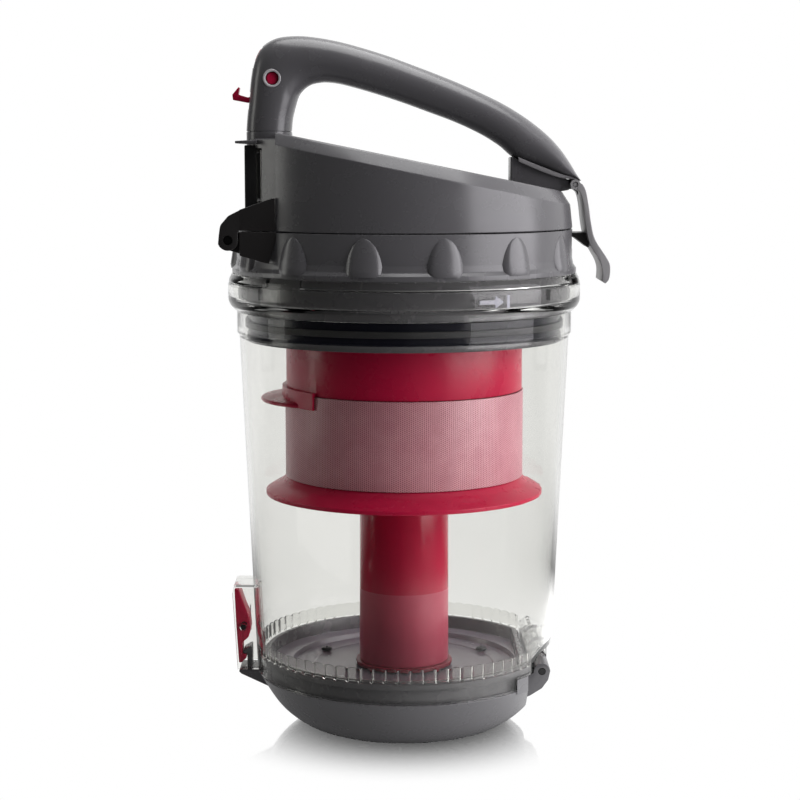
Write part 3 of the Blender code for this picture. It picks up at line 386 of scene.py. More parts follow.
class Nodes(Tree):
    """The node tree of a new material, round its Principled shader."""

    def __init__(self, name):
        self.mat = bpy.data.materials.new(name)
        self.mat.use_nodes = True
        super().__init__(self.mat.node_tree)
        self.shader = self.tree.nodes["Principled BSDF"]
        self.output = self.tree.nodes["Material Output"]

    def colour(self, factor, low, high, low_end=0.3, high_end=0.7):
        """Base colour from low to high as the factor goes between its two ends."""
        self.link(self.ramp(factor, [(low_end, low), (high_end, high)]), self.shader.inputs["Base Color"])

    def bump(self, height, strength, distance):
        node = self.add("Bump")
        node.inputs["Strength"].default_value = strength
        node.inputs["Distance"].default_value = distance
        self.link(height, node.inputs["Height"])
        self.link(node.outputs[0], self.shader.inputs["Normal"])
        return node

    def rough(self, value):
        self.link(value, self.shader.inputs["Roughness"])

    def set(self, **values):
        for key, value in values.items():
            self.shader.inputs[key.replace("_", " ")].default_value = value


def tint(colour, share):
    return tuple(min(1.0, c * share) for c in colour)


def moulded(name, colour, rough, spread=0.022, grain=0.00002, grain_scale=900.0, **more):
    """Moulded plastic: faint flow marks in its colour, uneven gloss, fine grain."""
    n = Nodes(name)
    flow = n.noise(22.0, 4.0, 0.55, distortion=0.6)
    n.colour(flow, tint(colour, 1 - spread * 2), tint(colour, 1 + spread * 2), 0.25, 0.75)
    gloss = n.noise(60.0, 5.0, 0.6)
    n.rough(n.span(gloss, rough * 0.82, rough * 1.2, 0.3, 0.7))
    n.bump(n.noise(grain_scale, 2.0, 0.5), 0.25, grain)
    n.set(**more)
    return n.mat


def clear_plastic():
    """Clear polycarbonate with a faint smoky tint. Lamps shine through it on what it holds."""
    n = Nodes("clear_plastic")
    n.set(IOR=1.24, Specular_IOR_Level=0.28)
    n.shader.inputs["Transmission Weight"].default_value = 1.0
    flow = n.noise(14.0, 3.0, 0.5, distortion=0.4)
    n.colour(flow, (0.865, 0.865, 0.846), (0.885, 0.885, 0.868))
    n.rough(n.span(n.noise(45.0, 4.0, 0.6), 0.0, 0.035, 0.35, 0.75))
    rays = n.add("LightPath")
    open_air = n.add("BsdfTransparent")
    open_air.inputs["Color"].default_value = (0.93, 0.93, 0.92, 1.0)
    lamp_side = n.math("MAXIMUM", rays.outputs["Is Shadow Ray"], rays.outputs["Is Diffuse Ray"])
    mixed = n.mix("MixShader", lamp_side, n.shader.outputs[0], open_air.outputs[0])
    n.link(mixed, n.output.inputs["Surface"])
    return n.mat


def screen_metal():
    """Fine perforated screen with columns of tiny holes."""
    n = Nodes("screen")
    x, y, z = n.axes()
    turn = n.math("ARCTAN2", y, x)
    column_pitch, row_pitch = 0.00105, 0.00098
    around = n.math("MULTIPLY", turn, SCREEN_R / column_pitch)
    up = n.math("MULTIPLY", z, 1 / row_pitch)
    column = n.math("FLOOR", around)
    shifted = n.math("ADD", up, n.math("MULTIPLY", n.math("MODULO", column, 2.0), 0.5))
    du = n.math("SUBTRACT", n.math("FRACT", around), 0.5)
    dv = n.math("SUBTRACT", n.math("FRACT", shifted), 0.5)
    reach = n.math("SQRT", n.math("ADD", n.math("MULTIPLY", du, du), n.math("MULTIPLY", dv, dv)))
    hole = n.span(reach, 1.0, 0.0, 0.24, 0.33)
    weave = n.noise(120.0, 3.0, 0.6)
    body = n.ramp(weave, [(0.3, (0.62, 0.27, 0.32)), (0.7, (0.70, 0.34, 0.385))])
    mix = n.add("MixRGB")
    n.link(hole, mix.inputs[0])
    n.link(body, mix.inputs[1])
    mix.inputs[2].default_value = (0.25, 0.03, 0.06, 1)
    n.link(mix.outputs[0], n.shader.inputs["Base Color"])
    n.rough(n.span(weave, 0.28, 0.42))
    n.bump(n.math("MULTIPLY", hole, -1.0), 0.35, 0.0002)
    n.set(Specular_IOR_Level=0.7)
    return n.mat


def foam_material():
    n = Nodes("foam")
    cell = n.add("TexVoronoi", feature="F1")
    cell.inputs["Scale"].default_value = 700.0
    n.link(n.coords(), cell.inputs["Vector"])
    n.colour(cell.outputs["Distance"], (0.012, 0.012, 0.014), (0.10, 0.10, 0.11), 0.15)
    n.set(Roughness=0.95, Sheen_Weight=0.25, Specular_IOR_Level=0.2)
    n.bump(cell.outputs["Distance"], 0.9, 0.0006)
    return n.mat


def paper_material():
    n = Nodes("filter_media")
    fibre = n.noise(900.0, 6.0, 0.7)
    n.colour(fibre, (0.70, 0.69, 0.65), (0.86, 0.85, 0.82))
    n.set(Roughness=0.9, Specular_IOR_Level=0.15)
    n.bump(fibre, 0.5, 0.0001)
    return n.mat


def steel_material(name, shade):
    """Drawn steel, bright or blackened."""
    n = Nodes(name)
    scratch = n.add("Mapping")
    scratch.inputs["Scale"].default_value = (90.0, 1400.0, 90.0)
    n.link(n.coords(), scratch.inputs["Vector"])
    lines = n.noise(1.0, 5.0, 0.7, vector=scratch.outputs[0])
    n.colour(lines, tint((0.50, 0.50, 0.51), shade), tint((0.66, 0.66, 0.67), shade))
    n.rough(n.span(lines, 0.22, 0.42))
    n.set(Metallic=1.0)
    return n.mat


def tube_red():
    """Red tube whose lower end is slightly frosted and painted a paler red: a painted reflection of the pale
    surroundings in the clear bin's front wall.
    """
    n = Nodes("tube_red")
    height = n.axes()[2]
    flow = n.noise(30.0, 4.0, 0.55)
    high = n.ramp(flow, [(0.25, (0.36, 0.007, 0.035)), (0.75, (0.44, 0.010, 0.045))])
    # The paler red of the lower end is a painted reflection, not a different plastic.
    low = n.ramp(flow, [(0.25, (0.40, 0.045, 0.085)), (0.75, (0.46, 0.060, 0.10))])
    painted_reflection_top = (0.0708, 0.0714)
    painted_reflection_mask = n.span(height, 1.0, 0.0, *painted_reflection_top)
    n.link(n.mix("MixRGB", painted_reflection_mask, high, low), n.shader.inputs["Base Color"])
    n.rough(n.span(height, 0.34, 0.16, *painted_reflection_top))
    n.bump(n.noise(900.0, 2.0, 0.5), 0.2, 0.00004)
    return n.mat


GRAY = moulded("gray_abs", (0.088, 0.086, 0.091), 0.26, Specular_IOR_Level=0.5)
# Lighter gray for the handle strap: a painted highlight.
PAINTED_HIGHLIGHT_GRAY = moulded("gray_painted_highlight", (0.20, 0.195, 0.20), 0.24)
BLACK = moulded("black_plastic", (0.012, 0.011, 0.011), 0.34)
BLUE_BLACK = moulded("separator_black", (0.007, 0.007, 0.012), 0.22, Specular_IOR_Level=0.25)
RED = moulded("red_plastic", (0.50, 0.007, 0.050), 0.29, Specular_IOR_Level=0.38)
# Pale gray of the rim's lock mark: a painted highlight on a mark of clear plastic.
MARK_PAINTED_GLINT = moulded("rim_mark_painted_glint", (0.27, 0.27, 0.31), 0.16)
BEZEL = moulded("bezel", (0.42, 0.41, 0.42), 0.24)
TAB_GRAY = moulded("tab_gray", (0.235, 0.231, 0.235), 0.34)
PLATE_GRAY = moulded("plate_gray", (0.155, 0.138, 0.168), 0.24)
RUBBER = moulded("rubber", (0.016, 0.016, 0.017), 0.55, grain=0.0001, grain_scale=1500.0)
RED_RUBBER = moulded("red_rubber", (0.20, 0.008, 0.025), 0.45, grain=0.0001, grain_scale=1500.0)
SEAL_GRAY = moulded("seal_gray", (0.07, 0.068, 0.072), 0.5)
CLEAR = clear_plastic()
SCREEN = screen_metal()
FOAM = foam_material()
PAPER = paper_material()
STEEL = steel_material("steel", 1.0)
DARK_STEEL = steel_material("dark_steel", 0.06)
TUBE_RED = tube_red()

# ---------------------------------------------------------------- shared sizes (as in the CAD)
BIN_BASE_Z, BIN_BASE_R, BIN_TOP_R, BIN_SHOULDER_Z = 0.0284, 0.0766, 0.0844, 0.2030
BIN_WALL, RIM_R, RIM_TOP_Z, RIM_LIP_R, RIM_GROOVE_R = 0.0022, 0.0900, 0.2350, 0.0854, 0.0876
INLET_HALF, INLET_Z = 0.0170, (0.1790, 0.1990)
FOOT_R, DOOR_R, DOOR_TOP_Z = 0.0380, 0.0765, 0.0281
CHORD_X, HINGE_WALL_X, HINGE_RISE_X, HINGE_RISE_Z = 0.0625, 0.0632, 0.0560, 0.0348
DOOR_PIN_XZ, LATCH_PIN_XZ = (0.0699, 0.0346), (-0.0835, 0.0510)
COLLAR_R, COLLAR_TOP_Z, COLLAR_LIP_R, GRIP_PLACES = 0.0857, 0.2572, 0.0878, 14
SCREEN_Z, SHROUD_R, APRON_FOOT_Z = (0.1311, 0.1754), 0.0607, 0.1690
LID_BASE_Z, LID_R, LID_TOP_R = 0.2577, 0.0860, 0.0845
LID_BACK_X, BOX_BACK_X, BOX_FRAME_X, BOX_HALF_Y = -0.0620, -0.0780, -0.0722, 0.0460
BOX_Z, BOX_FLOOR_Z, LID_WALL = (0.2680, 0.3020), 0.2604, 0.0024
LID_PIN_XZ, LID_LATCH_PIN_XZ, RELEASE_PIN_XZ = (-0.0848, 0.2535), (0.0860, 0.2796), (-0.0660, 0.3323)
HANDLE_HALF_Y, HANDLE_FOOT_Z, GAP = 0.0140, 0.3063, 0.0003
SCREW_BORE_R, SCREW_WELL_R = 0.0018, 0.0034
HEAD_SCREW_SPOTS = arc((0, 0), 0.0760, 4, 45, 315)
HANDLE_SCREW_XZ = ((-0.0300, 0.3412), (0.0280, 0.3212), (0.0690, 0.2960))


def lid_top(x):
    return 0.2924 - 0.203 * x


# ---------------------------------------------------------------- clear bin
def hinge_pocket(margin):
    wall_x = HINGE_WALL_X + BIN_WALL - margin
    top = 0.0440 + margin
    outline = [(wall_x, 0.0), (wall_x, top - 0.0040), (wall_x + 0.0035, top),
               (0.11, top + 0.0030), (0.11, 0.0)]
    return prism("pocket", CLEAR, filleted(outline, 0.003, 5, only=(1, 2)), -0.09, 0.09)


def sector(half_deg, turn_deg, inner, outer, low_z, high_z, mat=CLEAR, count=9):
    out = arc((0, 0), outer, count, turn_deg - half_deg, turn_deg + half_deg)
    back = arc((0, 0), inner, count, turn_deg + half_deg, turn_deg - half_deg)
    return prism("sector", mat, out + back, low_z, high_z, axis="z")


def mouth_outline(grow=0.0, radius=0.002, steps=4):
    """The inlet opening in X and Z, with its corners rounded."""
    half, low, high = INLET_HALF + grow, INLET_Z[0] - grow, INLET_Z[1] + grow
    return filleted([(-half, low), (half, low), (half, high), (-half, high)], radius, steps, closed=True)


def build_clear_bin():
    outer = [(0, BIN_BASE_Z), (BIN_BASE_R, BIN_BASE_Z), (BIN_TOP_R, BIN_SHOULDER_Z),
             (0.0856, 0.2052), (0.0856, 0.2160), (0.0870, 0.2168), (0.0890, 0.2190),
             (RIM_R, 0.2215), (RIM_R, 0.2290), (0.0892, 0.2328), (0.0880, RIM_TOP_Z),
             (0, RIM_TOP_Z)]
    outer = filleted(outer, {1: 0.0005, 2: 0.003, 3: 0.0012, 4: 0.0009, 5: 0.0012, 6: 0.004,
                             7: 0.004, 8: 0.005, 9: 0.004, 10: 0.0006}, 6)
    inner = [(0, BIN_BASE_Z - 0.002), (BIN_BASE_R - BIN_WALL, BIN_BASE_Z - 0.002),
             (BIN_BASE_R - BIN_WALL, BIN_BASE_Z), (BIN_TOP_R - BIN_WALL, BIN_SHOULDER_Z),
             (0.0833, 0.2160), (0.0838, 0.2195), (RIM_GROOVE_R, 0.2225), (RIM_GROOVE_R, 0.2300),
             (RIM_LIP_R, 0.2310), (RIM_LIP_R, RIM_TOP_Z + 0.002), (0, RIM_TOP_Z + 0.002)]
    inner = filleted(inner, {3: 0.003, 5: 0.002, 6: 0.003, 7: 0.0006}, 4)
    shell = lathe("clear_bin_shell", CLEAR, outer)
    cut(shell, hinge_pocket(0.0))
    hollow = cut(lathe("hollow", CLEAR, inner), hinge_pocket(BIN_WALL))
    rise = block("rise", CLEAR, (HINGE_RISE_X, -0.08, 0.0), (0.09, 0.08, HINGE_RISE_Z))
    cut(shell, hollow, rise)
    for side in (-1, 1):
        cheek = [(-0.0750, BIN_BASE_Z + GAP), (-0.0866, BIN_BASE_Z + GAP), (-0.0890, 0.0690),
                 (-0.0880, 0.0735), (-0.0776, 0.0735)]
        cheek = filleted(cheek, 0.0016, 4, closed=True, only=(2, 3))
        join(shell, prism("cheek", CLEAR, cheek, *sided(side, 0.0095, 0.0115)))
        lug = arc(DOOR_PIN_XZ, 0.0038, 13, 180, 360) + [(0.0737, 0.0460), (0.0661, 0.0452)]
        join(shell, prism("lug", CLEAR, lug, *sided(side, 0.0094, 0.0156)))
    join(shell, block("roof", CLEAR, (-0.0882, -0.0110, 0.0716), (-0.0774, 0.0110, 0.0732)))
    cut(shell, rod("hole", CLEAR, LATCH_PIN_XZ, 0.0018, -0.02, 0.02))
    cut(shell, rod("hole", CLEAR, DOOR_PIN_XZ, 0.0019, -0.02, 0.02))
    for i in range(3):
        cut(shell, sector(7.5, 108.0 + 120.0 * i, 0.0846, 0.0872, 0.2296, RIM_TOP_Z + 0.001))
    cut(shell, prism("mouth", CLEAR, mouth_outline(), 0.07, 0.10))
    return place(smooth(shell, 28), "bin", "clear_plastic", "clear_bin")


def build_teeth():
    """Ribbed clear ring that lines the bin just above the door's rim."""
    ribs, steps, wall = 74, 10, 0.0750
    total = ribs * steps
    rows = []
    for k in range(total):
        turn = TAU * k / total
        cell = math.sin(math.pi * (k % steps) / steps)
        rib = max(0.0, 1.0 - cell * 2.9) ** 0.5
        inner = wall - 0.0004 - 0.0011 * rib
        low, high = 0.0396 - 0.0012 * rib, 0.0455 + 0.0009 * cell ** 0.6
        corners = ((inner, low), (wall, low), (wall, high), (inner + 0.0002 * rib, high - 0.0003))
        rows.append([(radius * math.cos(turn), radius * math.sin(turn), z) for radius, z in corners])
    teeth = loft("clear_bin_teeth", CLEAR, rows, capped=False)
    # the ring stops at the flat wall of the hinge recess
    cut(teeth, block("stop", CLEAR, (HINGE_WALL_X - 0.0004, -0.09, 0.0), (0.1, 0.09, 0.1)))
    place(smooth(teeth, 30), "bin", "clear_plastic")


def build_lock_mark():
    """Generic raised arrow and bar on the rim, for the way the head turns. The clear mark is painted pale
    gray as a painted highlight on it.
    """
    arrow = [(-0.0085, -0.0008), (0.0, -0.0008), (0.0, -0.0030), (0.0048, 0.0002), (0.0, 0.0034),
             (0.0, 0.0012), (-0.0085, 0.0012)]
    bar = [(0.0066, -0.0030), (0.0082, -0.0030), (0.0082, 0.0034), (0.0066, 0.0034)]
    middle_z, middle_turn = 0.2251, math.radians(-61.5)
    marks = []
    for shape in (arrow, bar):
        outline = filleted(shape, 0.0005, 3, closed=True)
        rows = []
        for radius in (0.0896, RIM_R):
            row = []
            for u, v in outline:
                turn = middle_turn + u / RIM_R
                row.append((radius * math.cos(turn), radius * math.sin(turn), middle_z + v))
            rows.append(row)
        marks.append(loft("mark", MARK_PAINTED_GLINT, rows))
    place(merged("lock_mark", marks), "bin", "clear_plastic")


def build_inlet_seal():
    sheet = [(0.0845, 0.1752), (0.0864, 0.1760), (0.0864, 0.2020), (0.0845, 0.2028)]
    seal = lathe("inlet_seal_frame", RUBBER, filleted(sheet, 0.0006, 3, closed=True), 240)
    keep_inside(seal, prism("keep", RUBBER, mouth_outline(0.0035, 0.004, 5), 0.06, 0.1))
    wall = [(0, 0.16), (0.0835, 0.16), (0.0849, 0.2029), (0.0849, 0.22), (0, 0.22)]
    cut(seal, lathe("wall", RUBBER, wall, 240))
    cut(seal, prism("mouth", RUBBER, mouth_outline(), 0.06, 0.1))
    place(seal, "bin", "rubber", "inlet_seal")


# ---------------------------------------------------------------- bottom door
def d_loop(radius, chord_x, z):
    half = math.degrees(math.acos(chord_x / radius))
    return [(x, y, z) for x, y in arc((0, 0), radius, 120, half, 360.0 - half)]


def d_ring(name, mat, radius, chord_x, wall, low_z, high_z, bevel=0.0003):
    """Upright wall that follows a circle and its chord, with a softened top edge."""
    soft = bevel * 0.3
    insets = [(0.0, low_z), (0.0, high_z - bevel), (soft, high_z - soft), (bevel, high_z),
              (wall - bevel, high_z), (wall - soft, high_z - soft), (wall, high_z - bevel), (wall, low_z)]
    rows = [d_loop(radius - inset, chord_x - inset, z) for inset, z in insets]
    return smooth(loft(name, mat, rows, capped=False))


def build_door():
    side = curve_through([(FOOT_R, 0.0), (0.0480, 0.0009), (0.0560, 0.0036), (0.0665, 0.0125),
                          (DOOR_R, DOOR_TOP_Z)], 8)
    shell = [(0, 0.0), (0.0300, 0.0)] + side
    shell += [(0.0708, DOOR_TOP_Z), (0.0690, 0.0210), (0.0640, 0.0148), (0.0550, 0.0064),
              (FOOT_R, 0.0026), (0, 0.0026)]
    shell = filleted(shell, {len(side) + 1: 0.0005}, 3)
    door = lathe("bottom_door_dome", GRAY, shell)
    cut(door, block("chord", GRAY, (CHORD_X, -0.09, 0.0092), (0.12, 0.09, 0.05)))
    join(door, d_ring("rim", GRAY, 0.0720, CHORD_X - 0.0012, 0.0024, 0.0262, 0.0395))
    top = HINGE_RISE_Z - 0.0005
    band = lathe("band", GRAY, [(0.0724, 0.0265), (DOOR_R, 0.0265), (DOOR_R, top), (0.0724, top)])
    near_x = HINGE_RISE_X + 0.0005
    join(door, keep_inside(band, block("keep", GRAY, (near_x, -0.08, 0.0), (CHORD_X, 0.08, 0.05))))
    x = DOOR_PIN_XZ[0]
    ear = arc(DOOR_PIN_XZ, 0.0042, 17, 0, 180)
    ear += [(x - 0.0042, top), (CHORD_X - 0.0022, top), (CHORD_X - 0.0022, 0.0205),
            (0.0640, 0.0220), (0.0700, 0.0258), (0.0731, 0.0302)]
    ear = filleted(ear, 0.0022, 4, closed=True, only=range(20, 23))
    ear = prism("ear", GRAY, ear, -0.0370, 0.0370, bevel=0.0006)
    for side in (-1, 1):
        near, far = sided(side, 0.0091, 0.0159)
        cut(ear, block("slot", GRAY, (0.0646, near, DOOR_TOP_Z + 0.0010), (0.0800, far, 0.05)))
    cut(ear, rod("hole", GRAY, DOOR_PIN_XZ, 0.0019, -0.05, 0.05))
    wedge = [(-0.0715, 0.0282), (-0.0858, 0.0282), (-0.0862, 0.0268), (-0.0850, 0.0256),
             (-0.0702, 0.0186)]
    wedge = prism("wedge", GRAY, filleted(wedge, 0.0006, 3, closed=True, only=(1, 2, 3)),
                  -0.0092, 0.0092, bevel=0.0004)
    tongue = [(-0.0797, 0.0270), (-0.0797, 0.0392), (-0.0806, 0.0392), (-0.0841, 0.0371),
              (-0.0841, 0.0358), (-0.0820, 0.0358), (-0.0820, 0.0270)]
    tongue = prism("tongue", GRAY, tongue, -0.0055, 0.0055, bevel=0.0002, segments=2)
    join(door, ear, wedge, tongue)
    place(smooth(door, 26), "bottom_door", "gray_plastic", "bottom_door")


def build_door_inside():
    profile = [(0, 0.0286), (0.0600, 0.0286), (0.0600, 0.0312), (0.0694, 0.0312), (0.0694, 0.0332),
               (0.0580, 0.0332), (0.0572, 0.0306), (0.0470, 0.0306), (0.0464, 0.0301),
               (0.0300, 0.0301), (0, 0.0301)]
    plate = lathe("door_floor", PLATE_GRAY, filleted(profile, {4: 0.0004, 5: 0.0004, 7: 0.0003}, 3))
    cut(plate, block("chord", GRAY, (CHORD_X - 0.0040, -0.08, 0.0), (0.1, 0.08, 0.06)))
    places = arc((0, 0), 0.0480, 3, 30, 270)
    for spot in places:
        cut(plate, prism("bore", GRAY, arc(spot, SCREW_BORE_R, 20), 0.02, 0.04, axis="z"))
    place(plate, "bottom_door", "gray_plastic", "door_inner_plate")
    seal = d_ring("door_seal_ring", SEAL_GRAY, 0.0735, CHORD_X + 0.0003, 0.0012, 0.0353, 0.0380, 0.0004)
    place(seal, "bottom_door", "rubber", "door_seal")
    seat = turned_band("dust_tube_seat", RED_RUBBER, 0.0205, 0.0250, 0.0309, 0.0329, 0.0005)
    place(seat, "bottom_door", "rubber", "dust_tube_seal")
    for i, spot in enumerate(places):
        place(screw_z(f"door_floor_screw_{i + 1}", spot, 0.0310, 0.0240, 1), "bottom_door", "steel",
              f"door_screw_{i + 1}")


def screw_z(name, spot, head_z, tip_z, facing):
    """Pan-head screw with a cross recess; facing is +1 when its head is on top."""
    core_r, thread_r, head_r, head_high, pitch = 0.0011, 0.0014, 0.0030, 0.0016, 0.0007
    head = [(0, 0.0), (head_r - 0.0004, 0.0), (head_r, 0.0004), (0.0027, 0.0012), (0.0018, head_high),
            (0, head_high)]
    head = [(r, head_z + facing * h) for r, h in filleted(head, 0.0004, 3)]
    shaft = [(0, tip_z), (0.0008, tip_z), (thread_r, tip_z + facing * 0.0012)]
    z = tip_z + facing * 0.0014
    while abs(head_z - z) > pitch:
        shaft += [(thread_r, z), (core_r, z + facing * pitch * 0.5)]
        z += facing * pitch
    shaft += [(thread_r, head_z)] + head[1:]
    body = lathe(name, DARK_STEEL, shaft, 28)
    top = head_z + facing * head_high
    near, deep = sorted((top + facing * 0.0005, top - facing * 0.0009))
    for across, wide in ((0.0018, 0.00035), (0.00035, 0.0018)):
        cut(body, block("cross", STEEL, (-across, -wide, near), (across, wide, deep)))
    body.data.transform(Matrix.Translation((spot[0], spot[1], 0)))
    return body


# ---------------------------------------------------------------- door latch
def build_latch_lever():
    outline = [(-0.0884, 0.0702), (-0.0862, 0.0702), (-0.0830, 0.0610), (-0.0808, 0.0555),
               (-0.0802, 0.0490), (-0.0812, 0.0445), (-0.0846, 0.0415), (-0.0846, 0.0354),
               (-0.0824, 0.0354), (-0.0824, 0.0334), (-0.0850, 0.0308), (-0.0864, 0.0308),
               (-0.0876, 0.0500)]
    outline = filleted(outline, {0: 0.0008, 1: 0.0008, 2: 0.006, 3: 0.004, 4: 0.004, 5: 0.002,
                                 6: 0.001, 9: 0.0008, 10: 0.001, 12: 0.02}, 4, closed=True)
    lever = prism("door_latch_paddle", RED, outline, -0.0060, 0.0060, bevel=0.0005)
    for i in range(5):
        z = 0.0672 - 0.0030 * i
        x = -0.0884 + 0.0008 * (0.0702 - z) / 0.0202
        cut(lever, rod("rib", RED, (x - 0.0002, z), 0.0007, -0.0052, 0.0052, 16))
    cut(lever, rod("hole", RED, LATCH_PIN_XZ, 0.0018, -0.02, 0.02))
    place(lever, "door_latch", "red_plastic", "door_latch_lever")


# ---------------------------------------------------------------- collar
def grip(turn_deg):
    """Bullet-shaped grip: widest and proudest at its rounded foot."""
    count, across = 14, 12
    low_z, high_z = 0.2378, 0.2556
    root_r = COLLAR_R - 0.0012
    rows = []
    for i in range(count + 1):
        t = i / count
        width = 0.0088 * math.sqrt(max(0.0, 1 - t ** 1.8)) + 0.0003
        proud = (0.0033 * (1 - t) ** 0.85 + 0.0001) * (1.0 if i else 0.86)
        z = low_z + (high_z - low_z) * t if i else low_z - 0.0006
        row = []
        for k in range(across + 1):
            u = -1 + 2 * k / across
            r = COLLAR_R - 0.0004 + (proud + 0.0004) * math.sqrt(max(0.0, 1 - u * u)) ** 1.1
            row.append((r, u * width * (1.0 if i else 0.97), z))
        rows.append(row + [(root_r, width, z), (root_r, -width, z)])
    bump = loft("bump", GRAY, rows)
    bump.data.transform(Matrix.Rotation(math.radians(turn_deg), 4, "Z"))
    return bump


def build_collar():
    profile = [(0.0829, 0.2165), (0.0829, 0.2198), (0.0849, 0.2214), (0.0849, RIM_TOP_Z + GAP),
               (COLLAR_LIP_R, RIM_TOP_Z + GAP), (COLLAR_LIP_R, 0.2376), (0.0864, 0.2394),
               (COLLAR_R, 0.2425), (COLLAR_R, COLLAR_TOP_Z), (0.0812, COLLAR_TOP_Z),
               (0.0812, 0.2548), (0.0830, 0.2530), (0.0825, 0.2225), (0.0680, 0.2225),
               (0.0680, 0.2165)]
    profile = filleted(profile, {3: 0.0003, 4: 0.0003, 5: 0.0008, 6: 0.0022, 7: 0.0025, 8: 0.0005,
                                 9: 0.0004}, 5, closed=True)
    collar = lathe("twist_collar", GRAY, profile, 180)
    pitch = 360.0 / GRIP_PLACES
    for i in range(GRIP_PLACES - 1):  # the place at azimuth 0 is left free for the lid latch
        join(collar, grip(pitch * (i + 1)))
    for i in range(3):
        join(collar, sector(6.0, 90.0 + 120.0 * i, 0.0842, 0.0869, 0.2240, 0.2290, GRAY))
    cut(collar, block("window", GRAY, (0.0800, -0.0130, 0.2470), (0.1000, 0.0130, 0.2559)))
    for spot in HEAD_SCREW_SPOTS:
        cut(collar, prism("bore", GRAY, arc(spot, SCREW_BORE_R, 20), 0.21, 0.2206, axis="z"))
    place(smooth(collar, 30), "head", "gray_plastic", "collar")


# ---------------------------------------------------------------- cyclone parts
def build_separator():
    low_z, high_z, radius = 0.2012, 0.2152, 0.0808
    profile = [(0.0205, low_z + 0.0028), (radius - 0.0015, low_z + 0.0028), (radius - 0.0015, low_z),
               (radius, low_z), (radius, low_z + 0.0034), (radius - 0.0007, low_z + 0.0040),
               (radius - 0.0007, high_z), (0.0205, high_z)]
    profile = filleted(profile, {2: 0.0004, 3: 0.0005, 4: 0.0004, 6: 0.0006}, 4, closed=True)
    plate = lathe("separator_disc", BLUE_BLACK, profile)
    for spot in HEAD_SCREW_SPOTS:
        cut(plate, prism("bore", BLUE_BLACK, arc(spot, SCREW_BORE_R, 20), 0.19, 0.23, axis="z"))
        cut(plate, prism("well", BLUE_BLACK, arc(spot, SCREW_WELL_R, 24), 0.19, low_z + 0.0056, axis="z"))
    # The lower outer band of the black plate gets the lighter gray: a painted highlight line along its lower
    # edge.
    paint(plate, GRAY, lambda c, n: c.z < low_z + 0.0036 and math.hypot(c.x, c.y) > radius - 0.002)
    place(plate, "head", "black_plastic", "separator_plate")
    lip = filleted([(0.0811, 0.2080), (0.0818, 0.2084), (0.0818, 0.2111), (0.0811, 0.2115)], 0.0002, 2,
                   closed=True)
    place(lathe("bin_seal_lip", RUBBER, lip), "head", "rubber", "bin_seal")
    for i, spot in enumerate(HEAD_SCREW_SPOTS):
        place(screw_z(f"head_plate_screw_{i + 1}", spot, low_z + 0.0054, 0.2200, -1), "head", "steel",
              f"head_screw_{i + 1}")


def ring_wall(name, mat, radius, wall, low_z, high_z, bevel=0.0004, segs=SEGS):
    outline = [(radius, low_z), (radius, high_z), (radius - wall, high_z), (radius - wall, low_z)]
    return lathe(name, mat, filleted(outline, bevel, 3, closed=True), segs)


def turned_band(name, mat, inner, outer, low_z, high_z, bevel, steps=3, segs=SEGS):
    outline = [(inner, low_z), (outer, low_z), (outer, high_z), (inner, high_z)]
    return lathe(name, mat, filleted(outline, bevel, steps, closed=True), segs)


def shroud_fin():
    """Air guide round the apron's foot: a thin flange that thickens towards its root."""
    steps, root_r, foot = 56, 0.0622, APRON_FOOT_Z
    rows = []
    for i in range(steps + 1):
        turn = math.radians(132.0 + 81.0 * i / steps)
        fade = math.sin(math.pi * min(1.0, (i + 2.5) / (steps + 2.5))) ** 0.8
        reach = 0.0630 + 0.0116 * fade
        ramp_z = foot + 0.0021 + 0.0014 * fade
        section = ((root_r, foot), (reach - 0.0006, foot), (reach, foot + 0.0006), (reach, foot + 0.0013),
                   (reach - 0.0006, foot + 0.0019), (0.0630, ramp_z), (root_r, ramp_z + 0.0001))
        rows.append([(r * math.cos(turn), r * math.sin(turn), z) for r, z in section])
    return loft("fin", RED, rows)


